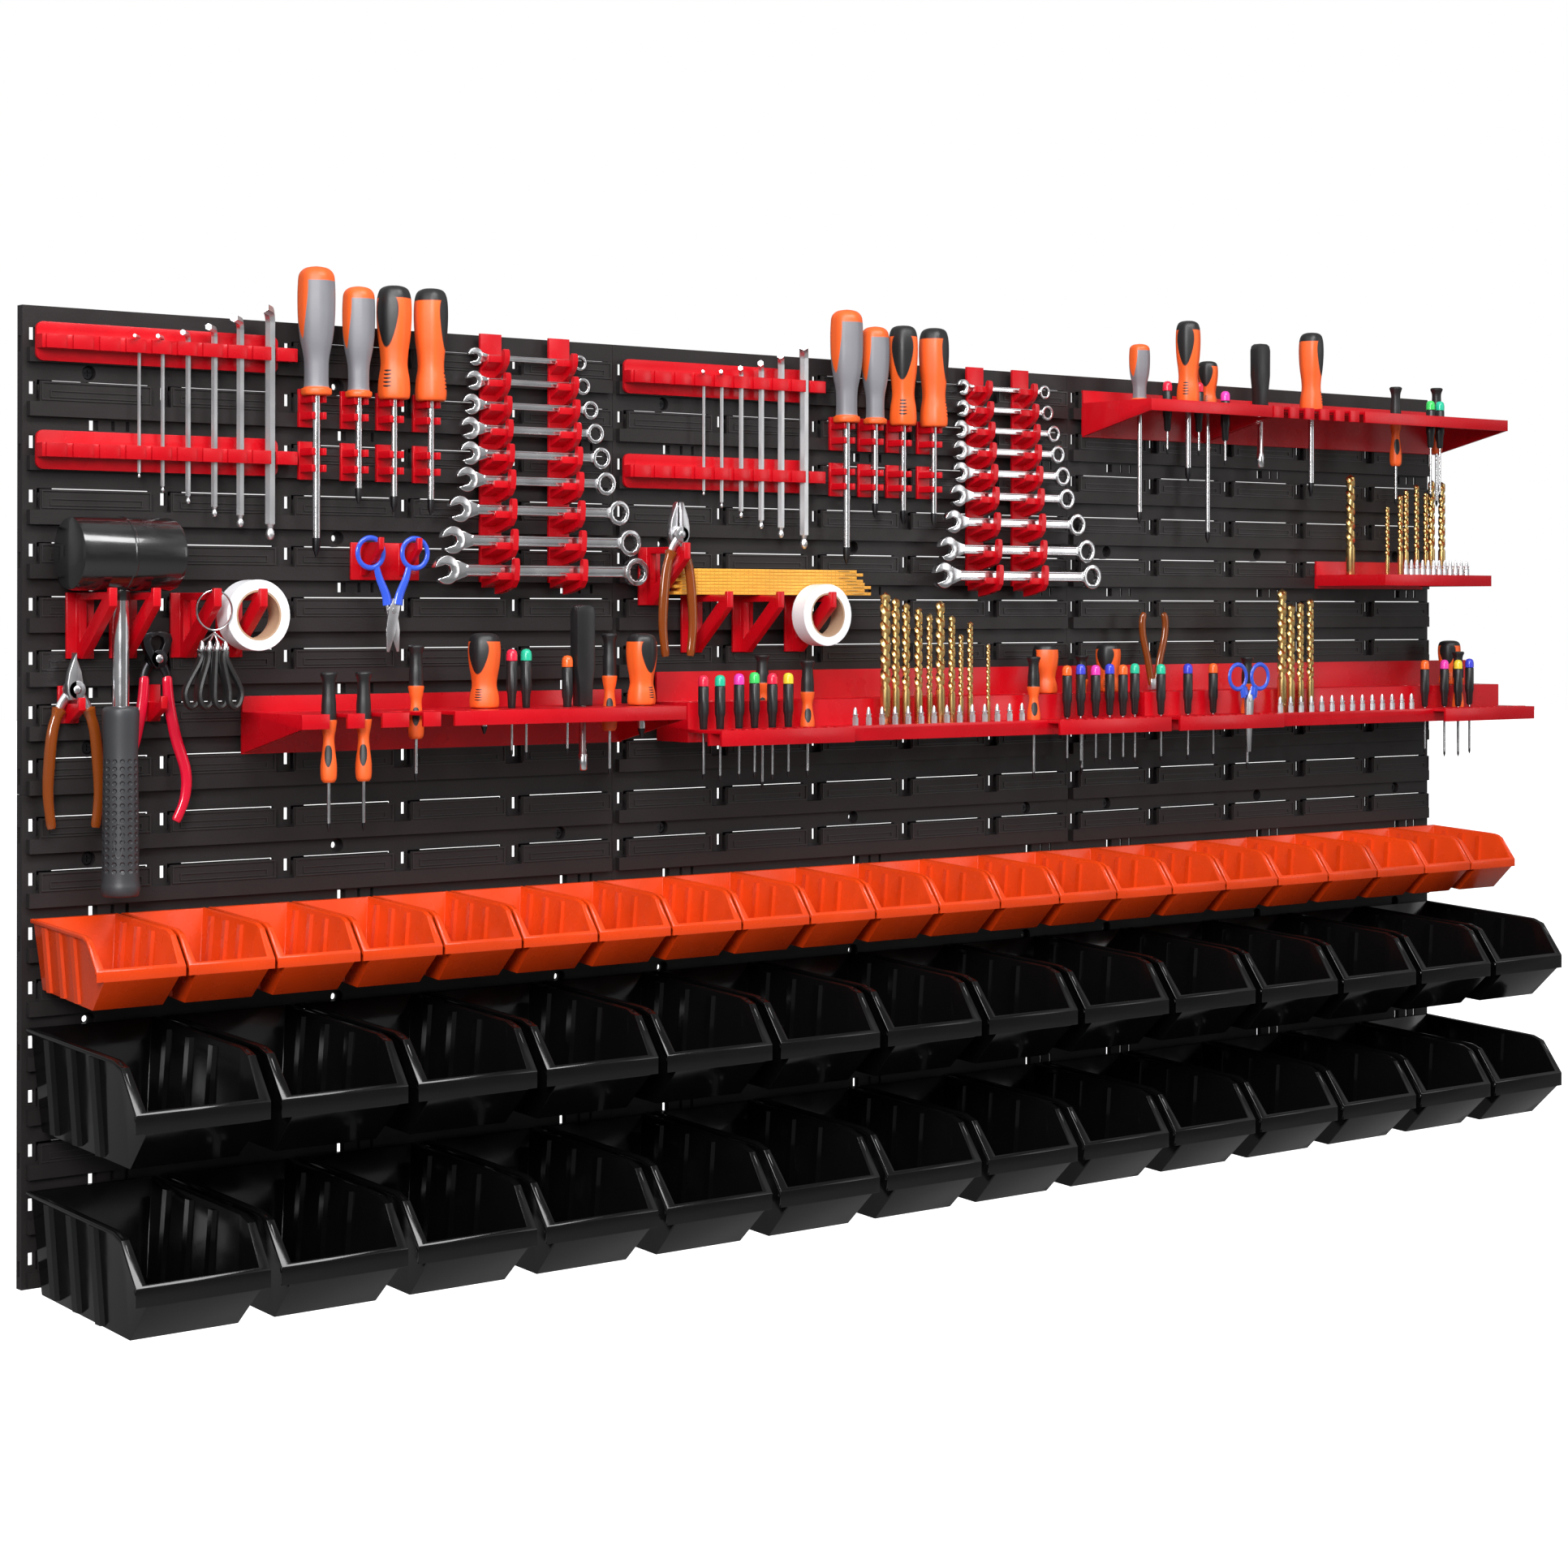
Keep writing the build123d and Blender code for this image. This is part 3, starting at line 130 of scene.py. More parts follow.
def shader_group(name, inputs, outputs):
    """A node group with named sockets; returns its bench and its input and output nodes."""
    tree = bpy.data.node_groups.new(name, "ShaderNodeTree")
    for label, kind, value in inputs:
        tree.interface.new_socket(name=label, in_out="INPUT", socket_type="NodeSocket" + kind).default_value = value
    for label, kind in outputs:
        tree.interface.new_socket(name=label, in_out="OUTPUT", socket_type="NodeSocket" + kind)
    bench = Bench(tree)
    return bench, bench.put("NodeGroupInput").outputs, bench.put("NodeGroupOutput").inputs


def moulded_grain():
    """Moulded plastic: fine spark-eroded grain, flow shading and a little dust on upward faces."""
    bench, given, made = shader_group("moulded grain", (
        ("Colour", "Color", (0.5, 0.5, 0.5, 1)), ("Grain", "Float", 900.0), ("Depth", "Float", 0.1),
        ("Rough", "Float", 0.4), ("Dust", "Float", 0.1)),
        (("Colour", "Color"), ("Roughness", "Float"), ("Normal", "Vector")))
    where = bench.place()
    grain = bench.noise(where, given["Grain"], 3.0)
    flow = bench.noise(where, 9.0, 4.0)
    shade = bench.spread(flow, 0.3, 0.7, 0.86, 1.12)
    tinted = bench.blend(1.0, given["Colour"], shade, "MULTIPLY")
    facing = bench.split(bench.put("ShaderNodeNewGeometry").outputs["Normal"])
    up = bench.spread(facing["Z"], 0.5, 1.0, 0.0, 1.0)
    specks = bench.spread(bench.noise(where, 120.0, 5.0), 0.45, 0.75, 0.2, 1.0)
    dust = bench.maths("MULTIPLY", bench.maths("MULTIPLY", up, specks), given["Dust"], clamp=True)
    bench.feed(made["Colour"], bench.blend(dust, tinted, (0.55, 0.53, 0.51, 1)))
    uneven = bench.spread(bench.noise(where, 38.0, 4.0), 0.3, 0.7, -0.05, 0.07)
    rough = bench.maths("ADD", bench.maths("ADD", given["Rough"], uneven),
                        bench.maths("MULTIPLY", dust, 0.4), clamp=True)
    bench.feed(made["Roughness"], rough)
    bench.feed(made["Normal"], bench.bump(0.0002, given["Depth"], grain).outputs[0])
    return bench.tree


def handled_metal():
    """Metal that has been used: hair scratches, smears and darker patches."""
    bench, given, made = shader_group("handled metal", (
        ("Colour", "Color", (0.6, 0.6, 0.6, 1)), ("Rough", "Float", 0.2), ("Scratch", "Float", 0.1),
        ("Tarnish", "Float", 0.2)),
        (("Colour", "Color"), ("Roughness", "Float"), ("Normal", "Vector")))
    hair = bench.noise(bench.place((60, 60, 900)), 4.0, 3.0)
    smear = bench.noise(bench.place(), 45.0, 5.0)
    patch = bench.maths("MULTIPLY", bench.spread(smear, 0.4, 0.75, 0.0, 1.0), given["Tarnish"])
    bench.feed(made["Colour"], bench.blend(patch, given["Colour"], (0.16, 0.14, 0.12, 1)))
    rough = bench.maths("ADD", given["Rough"], bench.spread(smear, 0.3, 0.7, -0.04, 0.12), clamp=True)
    bench.feed(made["Roughness"], rough)
    bench.feed(made["Normal"], bench.bump(0.0001, given["Scratch"], hair).outputs[0])
    return bench.tree


def grip_inlay():
    """A soft-edged oval on a grip, placed by its share of the way round and of the height."""
    bench, given, made = shader_group("grip inlay", (
        ("Round", "Float", 0.5), ("High", "Float", 0.5), ("Width", "Float", 0.1), ("Length", "Float", 0.2)),
        (("Mask", "Float"),))
    uv = bench.uv()
    across = bench.maths("DIVIDE", bench.maths("SUBTRACT", uv["X"], given["Round"]), given["Width"])
    along = bench.maths("DIVIDE", bench.maths("SUBTRACT", uv["Y"], given["High"]), given["Length"])
    narrow = bench.maths("ADD", 1.0, bench.maths("MULTIPLY", along, -0.35))
    across = bench.maths("MULTIPLY", across, narrow)
    reach = bench.maths("SQRT", bench.maths("ADD", bench.maths("POWER", bench.maths("ABSOLUTE", across), 2.0),
                                            bench.maths("POWER", bench.maths("ABSOLUTE", along), 2.0)))
    bench.feed(made["Mask"], bench.spread(reach, 0.96, 1.04, 1.0, 0.0))
    return bench.tree


GRAIN = moulded_grain()
METAL = handled_metal()
INLAY = grip_inlay()

# ---- finishes ----


def blank(name):
    material = bpy.data.materials.new(name)
    material.use_nodes = True
    return material, Bench(material.node_tree), material.node_tree.nodes["Principled BSDF"]


def surface_from(bench, shader, group, values):
    """Places a surface group in a material and joins it to the shader."""
    effect = bench.put("ShaderNodeGroup", node_tree=group)
    for label, value in values.items():
        bench.feed(effect.inputs[label], value)
    bench.feed(shader.inputs["Base Color"], effect.outputs["Colour"])
    bench.feed(shader.inputs["Roughness"], effect.outputs["Roughness"])
    bench.feed(shader.inputs["Normal"], effect.outputs["Normal"])
    return effect


def plastic(name, colour, rough, depth=0.25, dust=0.06, grain=900.0, coat=0.0, clear=0.0, gloss=0.5):
    material, bench, shader = blank(name)
    surface_from(bench, shader, GRAIN, {"Colour": (*colour, 1), "Grain": grain, "Depth": depth,
                                        "Rough": rough, "Dust": dust})
    shader.inputs["Specular IOR Level"].default_value = gloss
    shader.inputs["Coat Weight"].default_value = coat
    shader.inputs["Coat Roughness"].default_value = 0.06
    shader.inputs["Transmission Weight"].default_value = clear
    return material


def metal(name, colour, rough, scratch=0.25, tarnish=0.15):
    material, bench, shader = blank(name)
    surface_from(bench, shader, METAL, {"Colour": (*colour, 1), "Rough": rough, "Scratch": scratch,
                                        "Tarnish": tarnish})
    shader.inputs["Metallic"].default_value = 1.0
    return material


def two_part_grip(name, body, second, ovals, bands):
    """Grip plastic in two colours: second colour in ovals and in height bands, read from the UV map."""
    material, bench, shader = blank(name)
    mask = 0.0
    for round_at, high, width, length in ovals:
        oval = bench.put("ShaderNodeGroup", node_tree=INLAY)
        for label, value in zip(("Round", "High", "Width", "Length"), (round_at, high, width, length)):
            oval.inputs[label].default_value = value
        mask = bench.maths("MAXIMUM", mask, oval.outputs["Mask"])
    uv = bench.uv()
    for low, high in bands:
        above = bench.spread(uv["Y"], low, low + 0.01, 0.0, 1.0)
        below = bench.spread(uv["Y"], high - 0.01, high, 1.0, 0.0)
        mask = bench.maths("MAXIMUM", mask, bench.maths("MULTIPLY", above, below))
    colour = bench.blend(mask, (*body, 1), (*second, 1))
    surface_from(bench, shader, GRAIN, {"Colour": colour, "Grain": 1400.0, "Depth": 0.35, "Rough": 0.42,
                                        "Dust": 0.03})
    return material


GREY = (0.20, 0.20, 0.22)
ORANGE = (0.86, 0.12, 0.018)
BLACK = (0.012, 0.012, 0.013)
charcoal = plastic("charcoal moulding", (0.0190, 0.0160, 0.0164), 0.42, 0.5, 0.015, 700.0, gloss=0.32)
# The bead plastic is the panel moulding coloured lighter, as a painted highlight along the raised tab lines.
bead_charcoal_painted_highlight = plastic("charcoal bead painted highlight", (0.026, 0.0225, 0.0228), 0.34, 0.3, 0.02, 700.0, gloss=0.45)
red = plastic("red holder plastic", (0.50, 0.002, 0.008), 0.28, 0.2, 0.01, 800.0, gloss=0.4)
bin_orange = plastic("orange bin plastic", (0.68, 0.05, 0.004), 0.26, 0.12, 0.01, 600.0, gloss=0.45)
bin_black = plastic("black bin plastic", (0.003, 0.003, 0.0032), 0.12, 0.05, 0.0, 500.0, gloss=0.42)
black = plastic("black handle plastic", BLACK, 0.35, 0.3, 0.03)
black_rubber = plastic("mallet rubber", (0.0065, 0.0065, 0.007), 0.22, 0.15, 0.01, 500.0, 0.6, gloss=0.7)
leather = plastic("black strap leather", (0.014, 0.013, 0.013), 0.5, 0.8, 0.05, 350.0)
red_dip = plastic("red dipped vinyl", (0.62, 0.004, 0.03), 0.2, 0.1, 0.0, 500.0, 0.5)
blue = plastic("blue ring plastic", (0.03, 0.09, 0.62), 0.22, 0.1, 0.0, 700.0, 0.3)
white_tape = plastic("white tape", (0.82, 0.83, 0.86), 0.3, 0.15, 0.0, 300.0)
cardboard = plastic("cardboard core", (0.42, 0.27, 0.17), 0.8, 0.8, 0.0, 500.0)
amber = plastic("amber handle plastic", (0.30, 0.065, 0.008), 0.1, 0.05, 0.0, 200.0, 0.4, 0.35)
CAPS = {name: plastic(name + " cap", colour, 0.22) for name, colour in (
    ("red", (0.75, 0.02, 0.06)), ("teal", (0.02, 0.50, 0.30)), ("orange", (0.85, 0.13, 0.02)),
    ("pink", (0.80, 0.05, 0.42)), ("green", (0.05, 0.60, 0.12)), ("yellow", (0.80, 0.60, 0.04)),
    ("blue", (0.05, 0.06, 0.62)))}
chrome = metal("chrome plate", (0.78, 0.78, 0.80), 0.18, 0.08)
key_steel = metal("plated key steel", (0.86, 0.86, 0.88), 0.34)
steel = metal("satin steel", (0.68, 0.68, 0.70), 0.3)
dark_steel = metal("blackened steel", (0.05, 0.05, 0.055), 0.35)
gold = metal("gold coated steel", (0.80, 0.55, 0.22), 0.26, 0.3, 0.12)
brass = metal("brass", (0.72, 0.52, 0.22), 0.3)
grip_grey = two_part_grip("grey and orange grip", GREY, ORANGE, ((0.66, 0.74, 0.09, 0.30),),
                          ((0.88, 1.1), (-0.1, 0.07)))
SLOTS = tuple((0.57, 0.11 + 0.034 * k, 0.045, 0.009) for k in range(5))
grip_orange = two_part_grip("orange and black grip", ORANGE, BLACK, ((0.58, 0.70, 0.12, 0.25),) + SLOTS,
                            ((0.88, 1.1),))
small_grip = two_part_grip("small orange grip", ORANGE, BLACK, ((0.5, 0.24, 0.09, 0.10),), ((0.56, 1.1),))


def ruled_wood():
    """Yellow lacquered wood with fine grain and printed millimetre strokes along its edges."""
    material, bench, shader = blank("yellow rule wood")
    fibre = bench.noise(bench.place((18, 300, 300)), 6.0, 5.0)
    wood = bench.blend(bench.spread(fibre, 0.3, 0.7, 0.0, 1.0), (0.72, 0.30, 0.035, 1), (0.86, 0.44, 0.06, 1))
    axes = bench.split(bench.place())
    stroke = bench.maths("LESS_THAN", bench.maths("FRACT", bench.maths("MULTIPLY", axes["X"], 200.0)), 0.14)
    face = bench.maths("FRACT", bench.maths("MULTIPLY", axes["Z"], 1000 / 3.0))
    printed = bench.maths("MULTIPLY", stroke, bench.maths("GREATER_THAN", face, 0.62))
    colour = bench.blend(bench.maths("MULTIPLY", printed, 0.55), wood, (0.03, 0.02, 0.02, 1))
    surface_from(bench, shader, GRAIN, {"Colour": colour, "Grain": 500.0, "Depth": 0.3, "Rough": 0.33, "Dust": 0.0})
    return material


def dimpled_rubber():
    """Dark grey grip rubber with rows of small dimples below its collar."""
    material, bench, shader = blank("dimpled grip rubber")
    effect = surface_from(bench, shader, GRAIN, {"Colour": (0.035, 0.036, 0.04, 1), "Grain": 900.0,
                                                 "Depth": 0.4, "Rough": 0.45, "Dust": 0.03})
    uv = bench.uv()
    across = bench.maths("SUBTRACT", bench.maths("FRACT", bench.maths("MULTIPLY", uv["X"], 14.0)), 0.5)
    along = bench.maths("SUBTRACT", bench.maths("FRACT", bench.maths("MULTIPLY", uv["Y"], 26.0)), 0.5)
    far = bench.maths("SQRT", bench.maths("ADD", bench.maths("MULTIPLY", across, across),
                                          bench.maths("MULTIPLY", along, along)))
    zone = bench.maths("MULTIPLY", bench.spread(uv["Y"], 0.12, 0.14, 0.0, 1.0),
                       bench.spread(uv["Y"], 0.72, 0.74, 1.0, 0.0))
    dimple = bench.maths("MULTIPLY", bench.spread(far, 0.2, 0.34, -1.0, 0.0), zone)
    bump = bench.bump(0.0012, 1.0, dimple)
    bench.feed(bump.inputs["Normal"], effect.outputs["Normal"])
    bench.feed(shader.inputs["Normal"], bump.outputs[0])
    return material


rule_wood = ruled_wood()
grip_rubber = dimpled_rubber()

# ---- shapes ----


class Shapes:
    """Collects closed shapes, in wall millimetres, into one piece with several finishes."""

    def __init__(self, *finishes):
        self.finishes = finishes
        self.points = []
        self.faces = []
        self.kinds = []
        self.uvs = []

    def add(self, shape, finish):
        """shape is its points and faces, and the faces' UV corners where a finish reads them."""
        points, faces = shape[:2]
        uvs = shape[2] if len(shape) > 2 else None
        start = len(self.points)
        self.points += [tuple(p) for p in points]
        for k, face in enumerate(faces):
            self.faces.append([start + i for i in face])
            self.kinds.append(self.finishes.index(finish))
            self.uvs += uvs[k] if uvs else [(0.0, 0.0)] * len(face)

    def piece(self, name, body, replaced, slot, sharp=40):
        mesh = bpy.data.meshes.new(name)
        mesh.from_pydata([at(*p) for p in self.points], [], self.faces)
        layer = mesh.uv_layers.new(name="UVMap")
        layer.data.foreach_set("uv", [c for uv in self.uvs for c in uv])
        for finish in self.finishes:
            mesh.materials.append(finish)
        mesh.polygons.foreach_set("material_index", self.kinds)
        bm = bmesh.new()
        bm.from_mesh(mesh)
        bmesh.ops.recalc_face_normals(bm, faces=bm.faces)
        bm.to_mesh(mesh)
        bm.free()
        mesh.shade_smooth()
        mesh.set_sharp_from_angle(angle=math.radians(sharp))
        return settle(linked(name, mesh), body, replaced)


def settle(obj, body, replaced):
    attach(obj, body)
    if replaced:
        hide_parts(*replaced)
    return obj


def belts(rows, sides, closed=False):
    """The quads between rings of points that have the same number of sides."""
    faces = []
    for j in range(rows if closed else rows - 1):
        low, high = j * sides, (j + 1) % rows * sides
        faces += [[low + s, low + (s + 1) % sides, high + (s + 1) % sides, high + s] for s in range(sides)]
    return faces


def caps(rows, sides):
    """The end faces of a run of rings."""
    return [list(range(sides))[::-1], list(range((rows - 1) * sides, rows * sides))]


def lathe(x, d, rings, steps=24, turn=0.0, flutes=0, flute=0.0, lie=None):
    """A turned solid from (radius, z) rings, lowest first. lie='x' or 'd' lays its axis along that way."""
    points, uvs = [], []
    low, high = rings[0][1], rings[-1][1]
    for r, z in rings:
        for k in range(steps):
            a = 2 * math.pi * k / steps
            rr = r * (1 - flute * (0.5 + 0.5 * math.cos(flutes * a))) if flutes else r
            u, v = rr * math.cos(a + turn), rr * math.sin(a + turn)
            if lie == "x":
                points.append((x + z, d + u, v))
            elif lie == "d":
                points.append((x + u, d + z, v))
            else:
                points.append((x + u, d + v, z))
    shares = [(z - low) / (high - low) for r, z in rings]
    for v0, v1 in zip(shares, shares[1:]):
        uvs += [[(k / steps, v0), ((k + 1) / steps, v0), ((k + 1) / steps, v1), (k / steps, v1)]
                for k in range(steps)]
    uvs += [[(k / steps, end) for k in range(steps)] for end in (0.0, 1.0)]
    return points, belts(len(rings), steps) + caps(len(rings), steps), uvs


def lifted(shape, z):
    points, faces, uvs = shape
    return [(x, d, h + z) for x, d, h in points], faces, uvs


def flowing(points, per=6):
    """A smooth run through points of any dimension."""
    out = []
    for k in range(len(points) - 1):
        p0 = points[max(k - 1, 0)]
        p1, p2 = points[k], points[k + 1]
        p3 = points[min(k + 2, len(points) - 1)]
        for s in range(per):
            t = s / per
            out.append(tuple(0.5 * (2 * b + (c - a) * t + (2 * a - 5 * b + 4 * c - e) * t * t
                                    + (3 * b - a - 3 * c + e) * t ** 3)
                             for a, b, c, e in zip(p0, p1, p2, p3)))
    out.append(tuple(points[-1]))
    return out


def tube(path, radii, sides=12, squeeze=1.0, ring=False):
    """A bar of changing radius along (x, d, z) points; squeeze flattens it in depth."""
    if not isinstance(radii, (list, tuple)):
        radii = [radii] * len(path)
    spine = [Vector(p) for p in path]
    points = []
    count = len(spine)
    side = None
    for k, p in enumerate(spine):
        before = spine[k - 1] if k or ring else spine[k]
        after = spine[(k + 1) % count] if k < count - 1 or ring else spine[k]
        run = (after - before).normalized()
        if side is None:
            side = run.cross(Vector((0, 1, 0)))
            if side.length < 0.1:
                side = run.cross(Vector((1, 0, 0)))
        side = (side - run * side.dot(run)).normalized()
        other = run.cross(side)
        for s in range(sides):
            a = 2 * math.pi * s / sides
            step = side * math.cos(a) + other * math.sin(a)
            step.y *= squeeze
            points.append(p + step * radii[k])
    return points, belts(count, sides, ring) + ([] if ring else caps(count, sides))


def plate(loops, d0, d1, soft=0.4):
    """A flat plate from closed loops of (x, z) points, outline first and then its holes, with soft edges."""
    curve = bpy.data.curves.new("plate", "CURVE")
    curve.dimensions = "2D"
    curve.fill_mode = "BOTH"
    curve.extrude = (d1 - d0) / 2 - soft
    curve.bevel_depth = soft
    curve.bevel_resolution = 1
    curve.offset = -soft
    for loop in loops:
        spline = curve.splines.new("POLY")
        spline.points.add(len(loop) - 1)
        for point, (x, z) in zip(spline.points, loop):
            point.co = (x, z, 0, 1)
        spline.use_cyclic_u = True
    obj = linked("plate", curve)
    mesh = bpy.data.meshes.new_from_object(obj)
    bm = bmesh.new()
    bm.from_mesh(mesh)
    bmesh.ops.remove_doubles(bm, verts=bm.verts, dist=0.001)
    middle = (d0 + d1) / 2
    points = [(v.co.x, middle + v.co.z, v.co.y) for v in bm.verts]
    faces = [[v.index for v in f.verts] for f in bm.faces]
    bm.free()
    bpy.data.objects.remove(obj)
    bpy.data.meshes.remove(mesh)
    bpy.data.curves.remove(curve)
    return points, faces


def circle(x, z, r, steps):
    return [(x + r * math.cos(2 * math.pi * k / steps), z + r * math.sin(2 * math.pi * k / steps))
            for k in range(steps)]


def limb(line, widths):
    """An outline that follows a line of (x, z) points with a width at each."""
    left, right = [], []
    for k, (x, z) in enumerate(line):
        x0, z0 = line[max(k - 1, 0)]
        x1, z1 = line[min(k + 1, len(line) - 1)]
        run = math.hypot(x1 - x0, z1 - z0)
        nx = -(z1 - z0) / run * widths[k] / 2
        nz = (x1 - x0) / run * widths[k] / 2
        left.append((x + nx, z + nz))
        right.append((x - nx, z - nz))
    return left + right[::-1]


def solids_of(node):
    """The separate solids of a CAD node, left to right, each as (x0, x1, d0, d1, z0, z1) on the wall."""
    bm = bmesh.new()
    bm.from_mesh(nodes[node].data)
    bmesh.ops.remove_doubles(bm, verts=bm.verts, dist=1e-6)
    seen = set()
    found = []
    for first in bm.verts:
        if first in seen:
            continue
        seen.add(first)
        todo = [first]
        members = []
        while todo:
            v = todo.pop()
            members.append(v.co.copy())
            for edge in v.link_edges:
                other = edge.other_vert(v)
                if other not in seen:
                    seen.add(other)
                    todo.append(other)
        xs = [m.x * 1000 + WALL_W / 2 for m in members]
        ds = [-m.y * 1000 - PANEL_T for m in members]
        zs = [m.z * 1000 + WALL_H / 2 for m in members]
        found.append((min(xs), max(xs), min(ds), max(ds), min(zs), max(zs)))
    bm.free()
    return sorted(found)


def axes_of(node):
    """The x, d, radius, foot and top of each of a node's upright solids."""
    return [((x0 + x1) / 2, (d0 + d1) / 2, (x1 - x0) / 2, z0, z1) for x0, x1, d0, d1, z0, z1 in solids_of(node)]


def finish_node(node, material):
    mesh = nodes[node].data
    mesh.materials.clear()
    mesh.materials.append(material)


def softened(node, body, material):
    """A copy of a CAD node with its moulded edges rounded; it stands for the node."""
    bm = bmesh.new()
    bm.from_mesh(nodes[node].data)
    bmesh.ops.remove_doubles(bm, verts=bm.verts, dist=2e-6)
    bmesh.ops.dissolve_limit(bm, angle_limit=math.radians(2), verts=bm.verts, edges=bm.edges)
    mesh = bpy.data.meshes.new(node + "_moulded")
    bm.to_mesh(mesh)
    bm.free()
    mesh.materials.append(material)
    obj = linked(node + "_moulded", mesh)
    edge = obj.modifiers.new("soft edges", "BEVEL")
    edge.width = 0.0006
    edge.segments = 2
    edge.limit_method = "ANGLE"
    edge.angle_limit = math.radians(35)
    return plain(obj, body, (node,))


def plain(obj, body, replaced):
    """Turns an object with live modifiers into a plain mesh and settles it on its body."""
    bpy.context.view_layer.update()
    mesh = bpy.data.meshes.new_from_object(obj.evaluated_get(bpy.context.evaluated_depsgraph_get()))
    obj.modifiers.clear()
    obj.data = mesh
    mesh.shade_smooth()
    mesh.set_sharp_from_angle(angle=SHARP)
    return settle(obj, body, replaced)


# ---- repeated things, by Geometry Nodes ----


def repeat_tree(name, sizes, shape):
    """Puts a shape on every point. sizes are (name, value) inputs; shape(tree, given) returns a geometry
    socket and the turn of each copy."""
    tree = bpy.data.node_groups.new(name, "GeometryNodeTree")
    tree.interface.new_socket(name="Places", in_out="INPUT", socket_type="NodeSocketGeometry")
    for label, value in sizes:
        kind = "NodeSocketObject" if value is None else "NodeSocketFloat"
        socket = tree.interface.new_socket(name=label, in_out="INPUT", socket_type=kind)
        if value is not None:
            socket.default_value = value
    tree.interface.new_socket(name="Finish", in_out="INPUT", socket_type="NodeSocketMaterial")
    tree.interface.new_socket(name="Made", in_out="OUTPUT", socket_type="NodeSocketGeometry")
    given = tree.nodes.new("NodeGroupInput").outputs
    made = tree.nodes.new("NodeGroupOutput").inputs
    copies = tree.nodes.new("GeometryNodeInstanceOnPoints")
    real = tree.nodes.new("GeometryNodeRealizeInstances")
    coat = tree.nodes.new("GeometryNodeSetMaterial")
    geometry, turn = shape(tree, given)
    tree.links.new(given["Places"], copies.inputs["Points"])
    tree.links.new(geometry, copies.inputs["Instance"])
    copies.inputs["Rotation"].default_value = turn
    tree.links.new(copies.outputs[0], real.inputs[0])
    tree.links.new(real.outputs[0], coat.inputs["Geometry"])
    tree.links.new(given["Finish"], coat.inputs["Material"])
    tree.links.new(coat.outputs[0], made["Made"])
    return tree


def repeated(name, tree, places, values, body, replaced):
    """Runs a repeat tree over places in wall millimetres and settles the plain result."""
    mesh = bpy.data.meshes.new(name)
    mesh.from_pydata([at(*p) for p in places], [], [])
    obj = linked(name, mesh)
    run = obj.modifiers.new("repeat", "NODES")
    run.node_group = tree
    for socket in tree.interface.items_tree:
        if socket.in_out == "INPUT" and socket.name in values:
            run[socket.identifier] = values[socket.name]
    return plain(obj, body, replaced)


def swept(tree, given, ring):
    """A rectangle, Line by Rise, swept round a ring."""
    section = tree.nodes.new("GeometryNodeCurvePrimitiveQuadrilateral")
    tree.links.new(given["Line"], section.inputs["Width"])
    tree.links.new(given["Rise"], section.inputs["Height"])
    sweep = tree.nodes.new("GeometryNodeCurveToMesh")
    tree.links.new(ring.outputs[0], sweep.inputs["Curve"])
    tree.links.new(section.outputs[0], sweep.inputs["Profile Curve"])
    return sweep.outputs[0]


def bead_outline(tree, given):
    """A raised bead round a rectangle that stands on the wall."""
    ring = tree.nodes.new("GeometryNodeCurvePrimitiveQuadrilateral")
    tree.links.new(given["Length"], ring.inputs["Width"])
    tree.links.new(given["Height"], ring.inputs["Height"])
    return swept(tree, given, ring), (math.pi / 2, 0, 0)


def upright_collar(tree, given):
    """A round collar that stands on a deck."""
    ring = tree.nodes.new("GeometryNodeCurvePrimitiveCircle")
    ring.inputs["Resolution"].default_value = 16
    tree.links.new(given["Radius"], ring.inputs["Radius"])
    return swept(tree, given, ring), (0, 0, 0)


def shade_sheet(tree, given):
    """A thin upright strip behind the skin, a sheet of painted shade."""
    block = tree.nodes.new("GeometryNodeMeshCube")
    size = tree.nodes.new("ShaderNodeCombineXYZ")
    for axis, label in zip("XYZ", ("Width", "Thick", "Height")):
        tree.links.new(given[label], size.inputs[axis])
    tree.links.new(size.outputs[0], block.inputs["Size"])
    return block.outputs["Mesh"], (0, 0, 0)


def carried(tree, given):
    """The shape of another object, which is only a pattern for the copies."""
    info = tree.nodes.new("GeometryNodeObjectInfo")
    tree.links.new(given["Pattern"], info.inputs["Object"])
    return info.outputs["Geometry"], (0, 0, 0)


bead_tree = repeat_tree("tab beads", (("Length", 0.09), ("Height", 0.012), ("Line", 0.0008), ("Rise", 0.0005)),
                        bead_outline)
collar_tree = repeat_tree("hole collars", (("Radius", 0.0045), ("Line", 0.0008), ("Rise", 0.0006)), upright_collar)
shade_sheet_tree = repeat_tree("painted shade strips", (("Width", 0.015), ("Thick", 0.001), ("Height", 0.015)), shade_sheet)
row_tree = repeat_tree("row of copies", (("Pattern", None),), carried)

# ---- the wall ----
PANEL_W = 576
PANELS = [(column * PANEL_W, top) for top in (780.0, 390.0) for column in range(3)]
TAB_FIRST, TAB_PITCH = 61.5, 115.2
ROW_FIRST, ROW_PITCH = 22.4, 42.96
BEAD_D = 0.2
STRIP_D = -9.7
STRIP_T = 0.0008
for level in ("upper", "lower"):
    for side in ("left", "middle", "right"):
        finish_node("panel_" + level + "_" + side, charcoal)
finish_node("wall_screws", dark_steel)
tabs = [(left + TAB_FIRST + TAB_PITCH * c, top - ROW_FIRST - row * ROW_PITCH)
        for left, top in PANELS for row in range(9) for c in range(5)]
squares = [(left + across, top - drop) for left, top in PANELS
           for across in (61.8, 292.2, 522.6) for drop in (93.5, 222.4, 308.3)]
